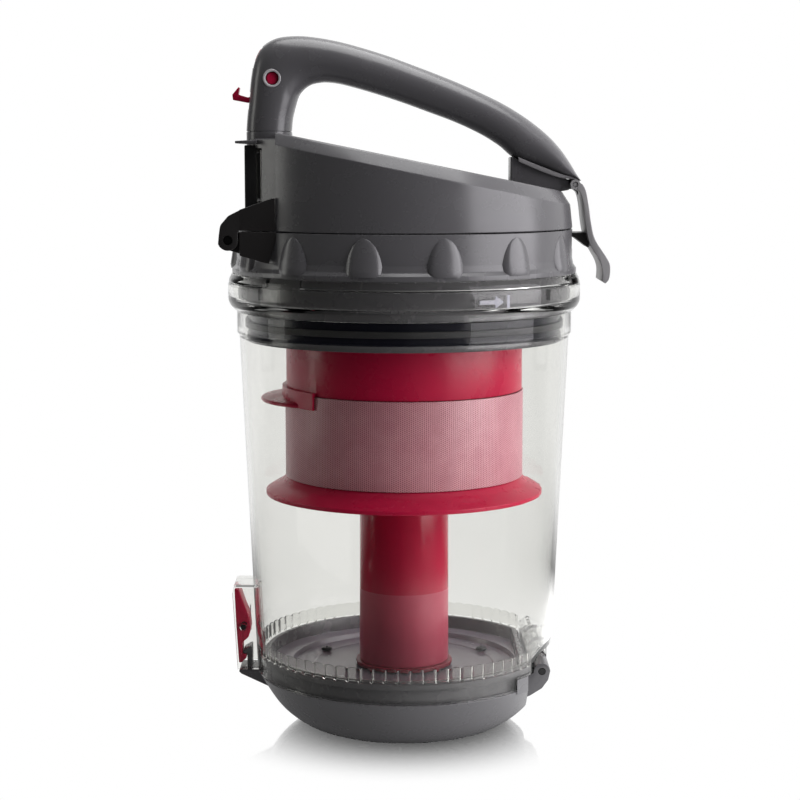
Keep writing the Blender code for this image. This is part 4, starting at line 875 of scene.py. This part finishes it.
def build_shroud():
    low_z, high_z = SCREEN_Z[1] + GAP, 0.2012 + 0.0028 - GAP
    body = ring_wall("shroud_drum", RED, SHROUD_R, 0.0022, low_z, high_z)
    half, middle, outer, top = 44.0, 180.0, 0.0628, SCREEN_Z[1] + 0.0021
    apron = sector(half, middle, 0.0616, outer, APRON_FOOT_Z, top, RED, 41)
    link = sector(half, middle, SHROUD_R - 0.0011, outer, low_z, top, RED, 41)
    join(body, apron, link, shroud_fin())
    place(smooth(body, 30), "head", "red_plastic", "shroud_body")

    screen = ring_wall("shroud_mesh", SCREEN, SCREEN_R, 0.0016, SCREEN_Z[0], SCREEN_Z[1], 0.0002)
    place(screen, "head", "screen", "shroud_screen")

    edge = 0.1227
    flare = curve_through([(0.0606, SCREEN_Z[0] - GAP), (0.0614, 0.1300), (0.0640, 0.1277),
                           (0.0680, 0.1255), (0.0714, edge + 0.0008)], 6)
    profile = flare + [(0.0714, edge - 0.0012), (0.0698, edge - 0.0012), (0.0670, 0.1233),
                       (0.0620, 0.1258), (0.0590, 0.1264), (0.0234, 0.1264), (0.0234, 0.1284),
                       (0.0575, 0.1284), (0.0575, SCREEN_Z[0] - GAP)]
    n = len(flare)
    profile = filleted(profile, {n - 1: 0.0004, n: 0.0005, n + 1: 0.0004}, 4, closed=True)
    place(lathe("shroud_flare", RED, profile), "head", "red_plastic", "shroud_skirt")

    tube = ring_wall("dust_tube_pipe", TUBE_RED, 0.0230, 0.0020, 0.0332, 0.1290, 0.0004, 96)
    place(tube, "head", "red_plastic", "dust_tube")
    cone = [(0.0212, 0.1294), (0.0230, 0.1294), (0.0560, 0.1740), (0.0560, 0.2032),
            (0.0542, 0.2032), (0.0542, 0.1746)]
    cone = filleted(cone, {2: 0.004, 5: 0.004}, 5, closed=True)
    place(lathe("cyclone_cone_shell", RED, cone, 96), "head", "red_plastic", "cyclone_cone")
    place(ring_wall("vortex_tube", BLACK, 0.0200, 0.0018, 0.1600, 0.2150, 0.0005, 72),
          "head", "black_plastic", "vortex_finder")


def build_filters():
    frame_profile = [(0.0655, 0.2480), (0.0800, 0.2480), (0.0800, 0.2505), (0.0632, 0.2505),
                     (0.0632, 0.2250), (0.0300, 0.2250), (0.0300, 0.2228), (0.0655, 0.2228)]
    tray = lathe("filter_tray", BLACK, filleted(frame_profile, 0.0005, 3, closed=True))
    place(tray, "head", "black_plastic", "filter_frame")
    place(smooth(foam_disc(), 60), "head", "foam", "foam_filter")


def foam_disc():
    """A crowned, slightly uneven block of open-cell foam with rounded edges."""
    rings, around = 26, 96
    low_z, high_z, radius = 0.2256, 0.2478, 0.0624
    waves = np.random.default_rng(11).normal(0.0, 1.0, (6, 4))

    def swell(x, y, amount):
        total = sum(math.sin(120 * a * x + 120 * b * y + 3 * c) * d for a, b, c, d in waves)
        return amount * math.tanh(total / 3)

    tops = []
    bottoms = []
    for i in range(rings + 1):
        t = i / rings
        crown = 0.0006 * (1 - t * t)
        sag = 0.0022 * max(0.0, (t - 0.9) / 0.1) ** 2.2
        circle = [(x, y) for x, y in arc((0, 0), radius * t, around)]
        tops.append([(x, y, high_z - 0.0006 + crown - sag + swell(x, y, 0.0002)) for x, y in circle])
        bottoms.append([(x, y, low_z + sag + swell(x, y, 0.0001)) for x, y in circle])
    foam = loft("foam_disc", FOAM, tops + bottoms[::-1])
    bm = bmesh.new()
    bm.from_mesh(foam.data)
    bmesh.ops.remove_doubles(bm, verts=bm.verts, dist=1e-6)
    bmesh.ops.recalc_face_normals(bm, faces=bm.faces)
    bm.to_mesh(foam.data)
    bm.free()
    return foam


# ---------------------------------------------------------------- lid
def sloping(name, mat, rows, segs=160):
    """Upright body whose top follows the lid's slope. Rows give (radius, z or None, below top)."""
    loops = []
    for r, z, below in rows:
        circle = arc((0, 0), r, segs)
        loops.append([(x, y, lid_top(x) - below if z is None else z) for x, y in circle])
    return smooth(loft(name, mat, loops))


def edge_rows(radius, low, low_r):
    """Side, softened corner, chamfer band, softened corner, top."""
    cham, inset = 0.0060, 0.0045
    rows = [(low_r - 0.0004, low, None), (low_r, low + 0.0004, None)]
    path = filleted([(radius, 0.020), (radius, cham), (radius - inset, 0.0), (radius - inset - 0.02, 0.0)],
                    {1: 0.0014, 2: 0.0022}, 5)
    for r, below in path[1:-1]:
        rows.append((r, None, below))
    return rows


def build_lid():
    lid = sloping("lid_dome", GRAY, edge_rows(LID_TOP_R, LID_BASE_Z, LID_R - 0.0003))
    cut(lid, block("rear", GRAY, (-0.10, -0.10, 0.2620), (LID_BACK_X, 0.10, 0.36)))
    modify(lid, "BEVEL", width=0.0011, segments=3, limit_method="ANGLE", angle_limit=math.radians(36))
    half = BOX_HALF_Y
    plan = [(LID_BACK_X + 0.01, -half - 0.0060), (LID_BACK_X + 0.01, half + 0.0060),
            (LID_BACK_X, half + 0.0056), (BOX_FRAME_X - 0.0009, half - 0.0066),
            (BOX_FRAME_X - 0.0009, 0.0066 - half), (LID_BACK_X, -half - 0.0056)]
    plan = filleted(plan, {3: 0.0006, 4: 0.0006}, 4, closed=True)
    box = prism("box", GRAY, plan, BOX_FLOOR_Z, BOX_Z[1], axis="z", bevel=0.0016)
    join(lid, box)
    lip = [(-0.0715, 0.2994), (-0.0822, 0.2998), (-0.0822, 0.3010), (-0.0715, 0.3016)]
    join(lid, prism("lip", GRAY, lip, -half + 0.002, half - 0.002, bevel=0.0003, segments=2))
    inside = sloping("inside", GRAY, [
        (LID_R - LID_WALL, LID_BASE_Z - 0.002, None), (LID_TOP_R - LID_WALL, None, 0.0080),
        (LID_TOP_R - LID_WALL - 0.0040, None, LID_WALL + 0.0004)])
    cut(inside, block("rear", GRAY, (-0.10, -0.10, 0.2596), (LID_BACK_X + LID_WALL, 0.10, 0.36)))
    near = (-0.10, -half + LID_WALL, BOX_Z[0] + LID_WALL)
    far = (LID_BACK_X + 0.0200, half - LID_WALL, BOX_Z[1] - 0.0044)
    join(inside, block("duct", GRAY, near, far))
    cut(lid, inside)
    join(lid, handle_plinth(), lid_latch_lug())
    cut(lid, rod("hole", GRAY, LID_LATCH_PIN_XZ, 0.0014, -0.02, 0.02))
    place(smooth(lid, 28), "lid", "gray_plastic", "lid_cover")
    place(smooth(handle_boss(), 28), "lid", "gray_plastic")
    seal = turned_band("lid_seal_ring", RUBBER, 0.0806, 0.0828, 0.2575, 0.2592, 0.0004)
    place(seal, "lid", "rubber", "lid_seal")


def handle_boss():
    """Foot on the lid that carries on the handle's rear leg, flush with it."""
    rows = []
    outer, inner = HANDLE_PAIRS[0]
    for z, grow in ((0.2955, 0.0), (0.3000, 0.0), (0.3058, 0.0), (0.3061, -0.0003)):
        flare = (HANDLE_FOOT_Z - z) * 0.12
        near = half_section((outer[0] - grow, z), (inner[0] + grow + flare, z), -1)
        rows.append(near + [(x, -y, h) for x, y, h in near[::-1]][1:-1])
    return loft("handle_rear_foot", GRAY, rows)


def plinth_line(x):
    """Underside of the handle above its front plinth."""
    (x_a, z_a), (x_b, z_b) = (0.0541, 0.2938), (0.0805, 0.2832)
    return z_a - (x - x_a) * (z_a - z_b) / (x_b - x_a)


def handle_plinth():
    outline = [(0.0536, lid_top(0.0536) - 0.0012), (0.0536, plinth_line(0.0536) - GAP),
               (0.0836, plinth_line(0.0800) - GAP - 0.0014), (0.0836, 0.2768),
               (0.0765, lid_top(0.0765) - 0.0012)]
    return prism("plinth", GRAY, outline, -0.0100, 0.0100, bevel=0.0010)


def lid_latch_lug():
    z = LID_LATCH_PIN_XZ[1]
    outline = arc(LID_LATCH_PIN_XZ, 0.0024, 13, -90, 90) + [(0.0790, z + 0.0024), (0.0790, z - 0.0024)]
    return prism("lug", GRAY, outline, -0.0060, 0.0060)


def build_outlet():
    half = BOX_HALF_Y
    outline = [(BOX_BACK_X, BOX_Z[0]), (BOX_FRAME_X, BOX_Z[0]),
               (BOX_FRAME_X, BOX_Z[1] - 0.0030), (BOX_BACK_X, BOX_Z[1] - 0.0030)]
    seal = prism("outlet_gasket", RUBBER, outline, 0.0058 - half, half - 0.0058, bevel=0.0006)
    low = (-0.10, -half + 0.0105, BOX_Z[0] + 0.0035)
    high = (-0.05, half - 0.0105, BOX_Z[1] - 0.0065)
    cut(seal, block("mouth", RUBBER, low, high, bevel=0.0010))
    place(seal, "lid", "rubber", "outlet_seal")
    folds = 18
    half = half - LID_WALL - 0.0008
    outline = []
    for i in range(2 * folds + 1):
        outline.append((-0.0700 + (0.0040 if i % 2 else 0.0), -half + 2 * half * i / (2 * folds)))
    outline = filleted(outline, 0.0004, 3)
    outline += [(-0.0560, half), (-0.0560, -half)]
    low, high = BOX_Z[0] + LID_WALL + 0.0006, BOX_Z[1] - 0.0055
    place(prism("outlet_pleats", PAPER, outline, low, high, axis="z"), "lid", "filter_media", "outlet_filter")


def hinge_arm(name, side, wedge, knuckle, knuckle_y, shave):
    """Black arm: a wedge on the wall with a knuckle round the pin, shaved to the round part behind it."""
    wedge = filleted(wedge, 0.0008, 3, closed=True)
    arm = prism(name, BLACK, wedge, *sided(side, 0.0500, 0.0600), bevel=0.0004)
    join(arm, prism("knuckle", BLACK, knuckle, *sided(side, *knuckle_y), bevel=0.0003))
    cut(arm, rod("hole", BLACK, LID_PIN_XZ, 0.00235, -0.08, 0.08))
    return cut(arm, lathe("shave", BLACK, shave, 240))


def build_hinges():
    for side, word in ((-1, "front"), (1, "back")):
        wedge = [(-0.0792, 0.2581), (-0.0792, 0.2681), (-0.0633, 0.2737), (-0.0550, 0.2737),
                 (-0.0550, 0.2581)]
        knuckle = arc(LID_PIN_XZ, 0.0050, 21, 200, 360)
        knuckle += [(LID_PIN_XZ[0] + 0.0050, 0.2581), (-0.0780, 0.2581), (-0.0780, 0.2685),
                    (-0.0845, 0.2652), (-0.0884, 0.2607), (-0.0891, 0.2560)]
        knuckle = filleted(knuckle, 0.004, 4, closed=True, only=(24, 25, 26))
        shave = [(0, 0.24), (LID_R + GAP, 0.24), (LID_R + GAP, 0.31), (0, 0.31)]
        arm = hinge_arm("lid_arm_" + word, side, wedge, knuckle, (0.0554, 0.0599), shave)
        place(arm, "lid", "black_plastic", "lid_hinge_arm_" + word)

        wedge = [(-0.0792, 0.2576), (-0.0550, 0.2576), (-0.0550, 0.2400), (-0.0681, 0.2429),
                 (-0.0792, 0.2462)]
        knuckle = arc(LID_PIN_XZ, 0.0050, 27, 75, 270) + [(-0.0785, 0.2466), (-0.0785, 0.2570)]
        shave = [(0, 0.22), (0.0892, 0.22), (0.0892, 0.2386), (COLLAR_R + GAP, 0.2560),
                 (COLLAR_R + GAP, 0.27), (0, 0.27)]
        arm = hinge_arm("collar_arm_" + word, side, wedge, knuckle, (0.0501, 0.0548), shave)
        place(arm, "head", "black_plastic", "collar_hinge_arm_" + word)


# ---------------------------------------------------------------- handle
HANDLE_PAIRS = [  # (outer point, inner point) along the handle, from rear foot to front tip
    ((-0.0800, 0.3063), (-0.0570, 0.3063)),
    ((-0.0795, 0.3130), (-0.0563, 0.3130)),
    ((-0.0783, 0.3240), (-0.0545, 0.3200)),
    ((-0.0774, 0.3326), (-0.0532, 0.3238)),
    ((-0.0757, 0.3410), (-0.0515, 0.3262)),
    ((-0.0718, 0.3482), (-0.0492, 0.3283)),
    ((-0.0645, 0.3526), (-0.0463, 0.3298)),
    ((-0.0545, 0.3538), (-0.0428, 0.3305)),
    ((-0.0440, 0.3530), (-0.0389, 0.3307)),
    ((-0.0300, 0.3503), (-0.0310, 0.3296)),
    ((-0.0100, 0.3445), (-0.0160, 0.3255)),
    ((0.0061, 0.3387), (-0.0010, 0.3207)),
    ((0.0221, 0.3326), (0.0120, 0.3160)),
    ((0.0360, 0.3267), (0.0260, 0.3108)),
    ((0.0487, 0.3207), (0.0385, 0.3050)),
    ((0.0590, 0.3147), (0.0480, 0.2992)),
    ((0.0674, 0.3087), (0.0550, 0.2934)),
    ((0.0740, 0.3030), (0.0640, 0.2898)),
    ((0.0796, 0.2968), (0.0720, 0.2866)),
    ((0.0840, 0.2905), (0.0790, 0.2838)),
    ((0.0873, 0.2848), (0.0850, 0.2826)),
    ((0.0892, 0.2814), (0.0884, 0.2818)),
]
HANDLE_OUTER, HANDLE_INNER = (curve_through(line, 5) for line in zip(*HANDLE_PAIRS))


def half_section(outer, inner, side, steps=16, power=2.3):
    """Half of a soft rounded-box section between two skin points, on one side of Y."""
    middle = (Vector(outer) + Vector(inner)) / 2
    reach = (Vector(outer) - Vector(inner)) / 2
    points = []
    for i in range(steps + 1):
        turn = math.pi * i / steps
        c, s = math.cos(turn), math.sin(turn)
        along = math.copysign(abs(c) ** (2 / power), c)
        wide = abs(s) ** (2 / power)
        flat = middle + reach * along
        points.append((flat.x, side * (GAP / 2 + (HANDLE_HALF_Y - GAP / 2) * wide), flat.y))
    return points


def build_handle():
    for side, word in ((-1, "front"), (1, "back")):
        rows = [half_section(outer, inner, side) for outer, inner in zip(HANDLE_OUTER, HANDLE_INNER)]
        half = smooth(loft("handle_shell_" + word, GRAY, rows), 40)
        cut(half, lever_room())
        cut(half, rod("pin_hole", GRAY, RELEASE_PIN_XZ, 0.0035, *sided(side, 0.0010, 0.0200)))
        cut(half, rod("rim_hole", GRAY, RELEASE_PIN_XZ, 0.0047, *sided(side, 0.0124, 0.0200)))
        for centre in HANDLE_SCREW_XZ:
            cut(half, rod("hole", GRAY, centre, 0.0017, -0.0076 if side < 0 else -0.0010, 0.02, 20))
            if side > 0:
                cut(half, rod("well", GRAY, centre, SCREW_WELL_R, 0.0112, 0.02, 28))
        place(smooth(half, 34), "lid", "gray_plastic", "handle_" + word)


def lever_room():
    half = 0.0053
    hub = rod("hub_room", GRAY, RELEASE_PIN_XZ, 0.0084, -half, half)
    pad = [RELEASE_PIN_XZ] + arc(RELEASE_PIN_XZ, 0.0300, 15, 108, 152)
    arm = [(-0.0680, 0.3320), (-0.0680, 0.3210), (-0.0760, 0.3172), (-0.0900, 0.3165),
           (-0.0900, 0.3248), (-0.0760, 0.3262)]
    join(hub, prism("pad_room", GRAY, pad, -half + 0.0001, half - 0.0001))
    return join(hub, prism("arm_room", GRAY, arm, -half + 0.0002, half - 0.0002))


def build_handle_band():
    """Strap under the handle's front end that runs out over the latch's knuckle. Its lighter gray is a
    painted highlight along the handle's lower edge.
    """
    upper = curve_through([(0.0575, 0.2932), (0.0645, 0.2903), (0.0720, 0.2874), (0.0790, 0.2848),
                           (0.0850, 0.2832), (0.0884, 0.2821)], 6)
    lower = curve_through([(0.0884, 0.2812), (0.0850, 0.2821), (0.0790, 0.2829), (0.0720, 0.2850),
                           (0.0645, 0.2880), (0.0575, 0.2910)], 6)
    band = prism("handle_strap", PAINTED_HIGHLIGHT_GRAY, upper + lower, -0.0129, 0.0129, bevel=0.0007)
    place(band, "lid", "gray_plastic")


def build_handle_fittings():
    for i, (x, z) in enumerate(HANDLE_SCREW_XZ):
        screw = screw_z(f"handle_fastener_{i + 1}", (0, 0), 0.0115, -0.0070, 1)
        screw.data.transform(Matrix.Translation((x, 0, z)) @ Matrix.Rotation(math.radians(-90), 4, "X"))
        place(face_out(screw), "lid", "steel", f"handle_screw_{i + 1}")
    x, z = RELEASE_PIN_XZ
    laid_down = Matrix.Translation((x, 0, z)) @ Matrix.Rotation(math.radians(90), 4, "X")
    profile = [(0, -0.0122), (0.0026, -0.0122), (0.0032, -0.0116), (0.0032, 0.0116), (0.0026, 0.0122),
               (0, 0.0122)]
    pin = lathe("release_boss", RED, filleted(profile, 0.0004, 3), 48)
    pin.data.transform(laid_down)
    place(pin, "lid", "red_plastic", "release_pin")
    for side, word in ((-1, "front"), (1, "back")):
        ring = turned_band("release_bezel_" + word, BEZEL, 0.0033, 0.0046, *sided(side, 0.0122, 0.0139),
                           0.0005, 4, 56)
        ring.data.transform(laid_down)
        place(ring, "lid", "gray_plastic")


def build_release_lever():
    lever = rod("release_hook", RED, RELEASE_PIN_XZ, 0.0066, -0.0028, 0.0028, 40, bevel=0.0003)
    hook = [(-0.0690, 0.3290), (-0.0690, 0.3270), (-0.0760, 0.3212), (-0.0791, 0.3205),
            (-0.0866, 0.3219), (-0.0869, 0.3246), (-0.0837, 0.3284), (-0.0832, 0.3279),
            (-0.0838, 0.3246), (-0.0790, 0.3232), (-0.0750, 0.3244), (-0.0710, 0.3290)]
    hook = filleted(hook, {3: 0.002, 4: 0.0006, 5: 0.0004, 6: 0.0002, 8: 0.0005, 9: 0.001}, 3, closed=True)
    join(lever, prism("hook", RED, hook, -0.0026, 0.0026, bevel=0.0002, segments=2))
    x, z = RELEASE_PIN_XZ
    pad = []
    for i in range(9):
        turn = math.radians(112.0 + 3.0 * i)
        direction = Vector((math.cos(turn), math.sin(turn)))
        reach = skin_reach(direction, x, z)
        pad.append((x + reach * math.cos(turn), z + reach * math.sin(turn)))
    foot = arc(RELEASE_PIN_XZ, 0.0052, 9, 136, 112)
    join(lever, prism("pad", RED, pad + foot, -0.0046, 0.0046, bevel=0.0004))
    cut(lever, rod("bore", RED, RELEASE_PIN_XZ, 0.0035, -0.02, 0.02))
    place(lever, "release", "red_plastic", "release_lever")


def skin_reach(direction, x, z):
    """How far the handle's outer skin is from a point inside it."""
    for first, second in zip(HANDLE_OUTER, HANDLE_OUTER[1:]):
        a = Vector((first[0] - x, first[1] - z))
        b = Vector((second[0] - x, second[1] - z))
        side_a = direction.x * a.y - direction.y * a.x
        side_b = direction.x * b.y - direction.y * b.x
        if side_a * side_b <= 0 and a.lerp(b, 0.5).dot(direction) > 0:
            return a.lerp(b, side_a / (side_a - side_b)).length - 0.0005
    return 0.0150


# ---------------------------------------------------------------- lid latch
def build_lid_latch():
    outer = curve_through([(0.0896, 0.2797), (0.0913, 0.2764), (0.0929, 0.2685), (0.0941, 0.2604),
                           (0.0962, 0.2522), (0.1014, 0.2441), (0.1037, 0.2400), (0.1041, 0.2357),
                           (0.1034, 0.2318), (0.1017, 0.2298)], 5)
    inner = curve_through([(0.0999, 0.2310), (0.1001, 0.2362), (0.0990, 0.2404), (0.0963, 0.2452),
                           (0.0936, 0.2500), (0.0914, 0.2590), (0.0900, 0.2700), (0.0886, 0.2752),
                           (0.0868, 0.2768)], 5)
    outline = outer + inner + [(0.0868, 0.2815)]
    latch = prism("latch_tab", TAB_GRAY, outline, -0.0150, 0.0150, bevel=0.0005)
    join(latch, rod("knuckle", TAB_GRAY, LID_LATCH_PIN_XZ, 0.0025, -0.0149, 0.0149, 28))
    cut(latch, block("clevis", TAB_GRAY, (0.0800, -0.0064, 0.2700), (0.0892, 0.0064, 0.2850)))
    cut(latch, rod("hole", TAB_GRAY, LID_LATCH_PIN_XZ, 0.0014, -0.02, 0.02, 24))
    place(smooth(latch, 30), "lid_latch", "gray_plastic", "lid_latch")
    barb = [(0.0834, 0.2553), (0.0834, 0.2538), (0.0861, 0.2530), (0.0930, 0.2478), (0.0937, 0.2484),
            (0.0918, 0.2553)]
    place(prism("latch_barb", BLACK, barb, -0.0110, 0.0110, bevel=0.0003), "lid_latch", "black_plastic",
          "lid_latch_barb")


def dress_kept_nodes():
    """Pins and springs keep their CAD shape: the springs get bright steel, the pins blackened steel, and the
    lid latch pin the latch tab's gray.
    """
    for name in ("door_hinge_pin", "door_latch_pin", "door_latch_spring", "lid_hinge_pin_front",
                 "lid_hinge_pin_back", "lid_latch_pin", "release_spring"):
        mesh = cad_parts[name].data
        mesh.materials.clear()
        finish = STEEL if "spring" in name else DARK_STEEL
        mesh.materials.append(TAB_GRAY if name == "lid_latch_pin" else finish)


# ---------------------------------------------------------------- stage
def build_stage():
    """White sweep: clear to the white backdrop behind it, so the opened door shows below its level,
    and polished right under the foot, where the base mirrors softly."""
    n = Nodes("floor_paper")
    reach = n.add("VectorMath", operation="LENGTH")
    n.link(n.coords("Object"), reach.inputs[0])
    reach = reach.outputs["Value"]
    halo = n.math("MULTIPLY", n.smooth_span(reach, 0.040, 0.100, 0.0, 1.0),
                  n.smooth_span(reach, 0.200, 0.420, 1.0, 0.05))
    x, y, _ = n.axes()
    lean = n.smooth_span(x, -0.08, 0.20, 0.34, 2.5)
    behind = n.smooth_span(y, 0.12, 0.60, 0.0, 1.1)
    # For bounced light the floor glows: painted bounce light in a ring round the foot, stronger to the right,
    # and bright behind.
    bounce_glow = n.add("Emission")
    n.link(n.math("MAXIMUM", n.math("MULTIPLY", halo, lean), behind), bounce_glow.inputs["Color"])
    bounce_glow.inputs["Strength"].default_value = 0.85
    paper = n.add("BsdfTransparent")
    gloss = n.add("BsdfGlossy")
    for shader in (paper, gloss):
        shader.inputs["Color"].default_value = (1, 1, 1, 1)
    gloss.inputs["Roughness"].default_value = 0.06
    polish = n.smooth_span(reach, 0.040, 0.108, 0.90, 0.0)
    polished = n.mix("MixShader", polish, paper.outputs[0], gloss.outputs[0])
    n.link(n.mix("MixShader", n.seen_directly(), bounce_glow.outputs[0], polished), n.output.inputs["Surface"])
    n.tree.nodes.remove(n.shader)
    size, level = 8.0, -0.0004
    corners = [(-size, -size, level), (size, -size, level), (size, size, level), (-size, size, level)]
    mesh_object("floor", corners, [(0, 1, 2, 3)], n.mat)


def area_light(name, spot, aim_z, size, power, colour=(1, 1, 1)):
    """Rectangular lamp that looks at a height on the canister's axis."""
    data = bpy.data.lights.new(name, "AREA")
    data.shape = "RECTANGLE"
    data.size, data.size_y = size
    data.energy = power
    data.color = colour
    light = bpy.data.objects.new(name, data)
    light.location = spot
    light.rotation_euler = (Vector((0.0, 0.0, aim_z)) - Vector(spot)).to_track_quat("-Z", "Y").to_euler()
    bpy.context.scene.collection.objects.link(light)


def build_world():
    """White backdrop for the camera. The object itself is lit by a darker, one-sided studio."""
    world = bpy.data.worlds.new("studio")
    bpy.context.scene.world = world
    world.use_nodes = True
    n = Tree(world.node_tree)

    def facing(direction):
        node = n.add("VectorMath", operation="DOT_PRODUCT")
        node.inputs[1].default_value = direction
        n.link(n.coords("Generated"), node.inputs[0])
        return node.outputs["Value"]

    lean = n.math("MULTIPLY_ADD", facing((0.62, 0.45, 0.40)), 0.5, 0.5)
    stops = [(0.0, 0.02), (0.40, 0.03), (0.60, 0.16), (0.78, 0.60), (0.95, 1.0)]
    studio = n.ramp(lean, [(position, (level, level, level)) for position, level in stops])
    cyc = n.add("Mix", data_type="RGBA")
    n.link(n.smooth_span(facing((0.0, 0.955, 0.298)), 0.80, 0.92, 0.0, 1.0), cyc.inputs["Factor"])
    n.link(studio, cyc.inputs[6])
    cyc.inputs[7].default_value = (1, 1, 1, 1)
    room = n.tree.nodes["Background"]
    n.link(cyc.outputs[2], room.inputs[0])
    backdrop = n.add("Background")
    backdrop.inputs[0].default_value = (1, 1, 1, 1)
    seen = n.mix("MixShader", n.seen_directly(), room.outputs[0], backdrop.outputs[0])
    n.link(seen, n.tree.nodes["World Output"].inputs[0])


def build_camera():
    place_m, tilt_down_deg, lens_mm = (-0.0021, -0.9547, 0.2916), 7.34, 83.7
    data = bpy.data.cameras.new("camera")
    data.sensor_width = 36.0
    data.lens = lens_mm
    data.clip_end = 60.0
    camera = bpy.data.objects.new("camera", data)
    camera.location = place_m
    camera.rotation_euler = (math.radians(90 - tilt_down_deg), 0.0, 0.0)
    bpy.context.scene.collection.objects.link(camera)
    bpy.context.scene.camera = camera


def build_lights():
    cool, warm = (0.98, 0.96, 1.0), (1.0, 1.0, 0.95)
    area_light("right_softbox", (1.18, -0.44, 0.34), 0.19, (1.25, 1.35), 23.0, cool)
    area_light("top_softbox", (0.10, 0.05, 1.30), 0.15, (1.15, 1.0), 15.0)
    area_light("left_strip", (-1.20, 0.08, 0.30), 0.18, (0.36, 1.00), 2.3, warm)


bpy.context.scene.view_settings.view_transform = "Standard"
for build in (
    build_camera, build_world, build_lights, build_stage, build_clear_bin, build_teeth, build_lock_mark,
    build_inlet_seal, build_door, build_door_inside, build_latch_lever, build_collar, build_separator,
    build_shroud, build_filters, build_lid, build_outlet, build_hinges, build_handle, build_handle_band,
    build_handle_fittings, build_release_lever, build_lid_latch, dress_kept_nodes,
):
    build()
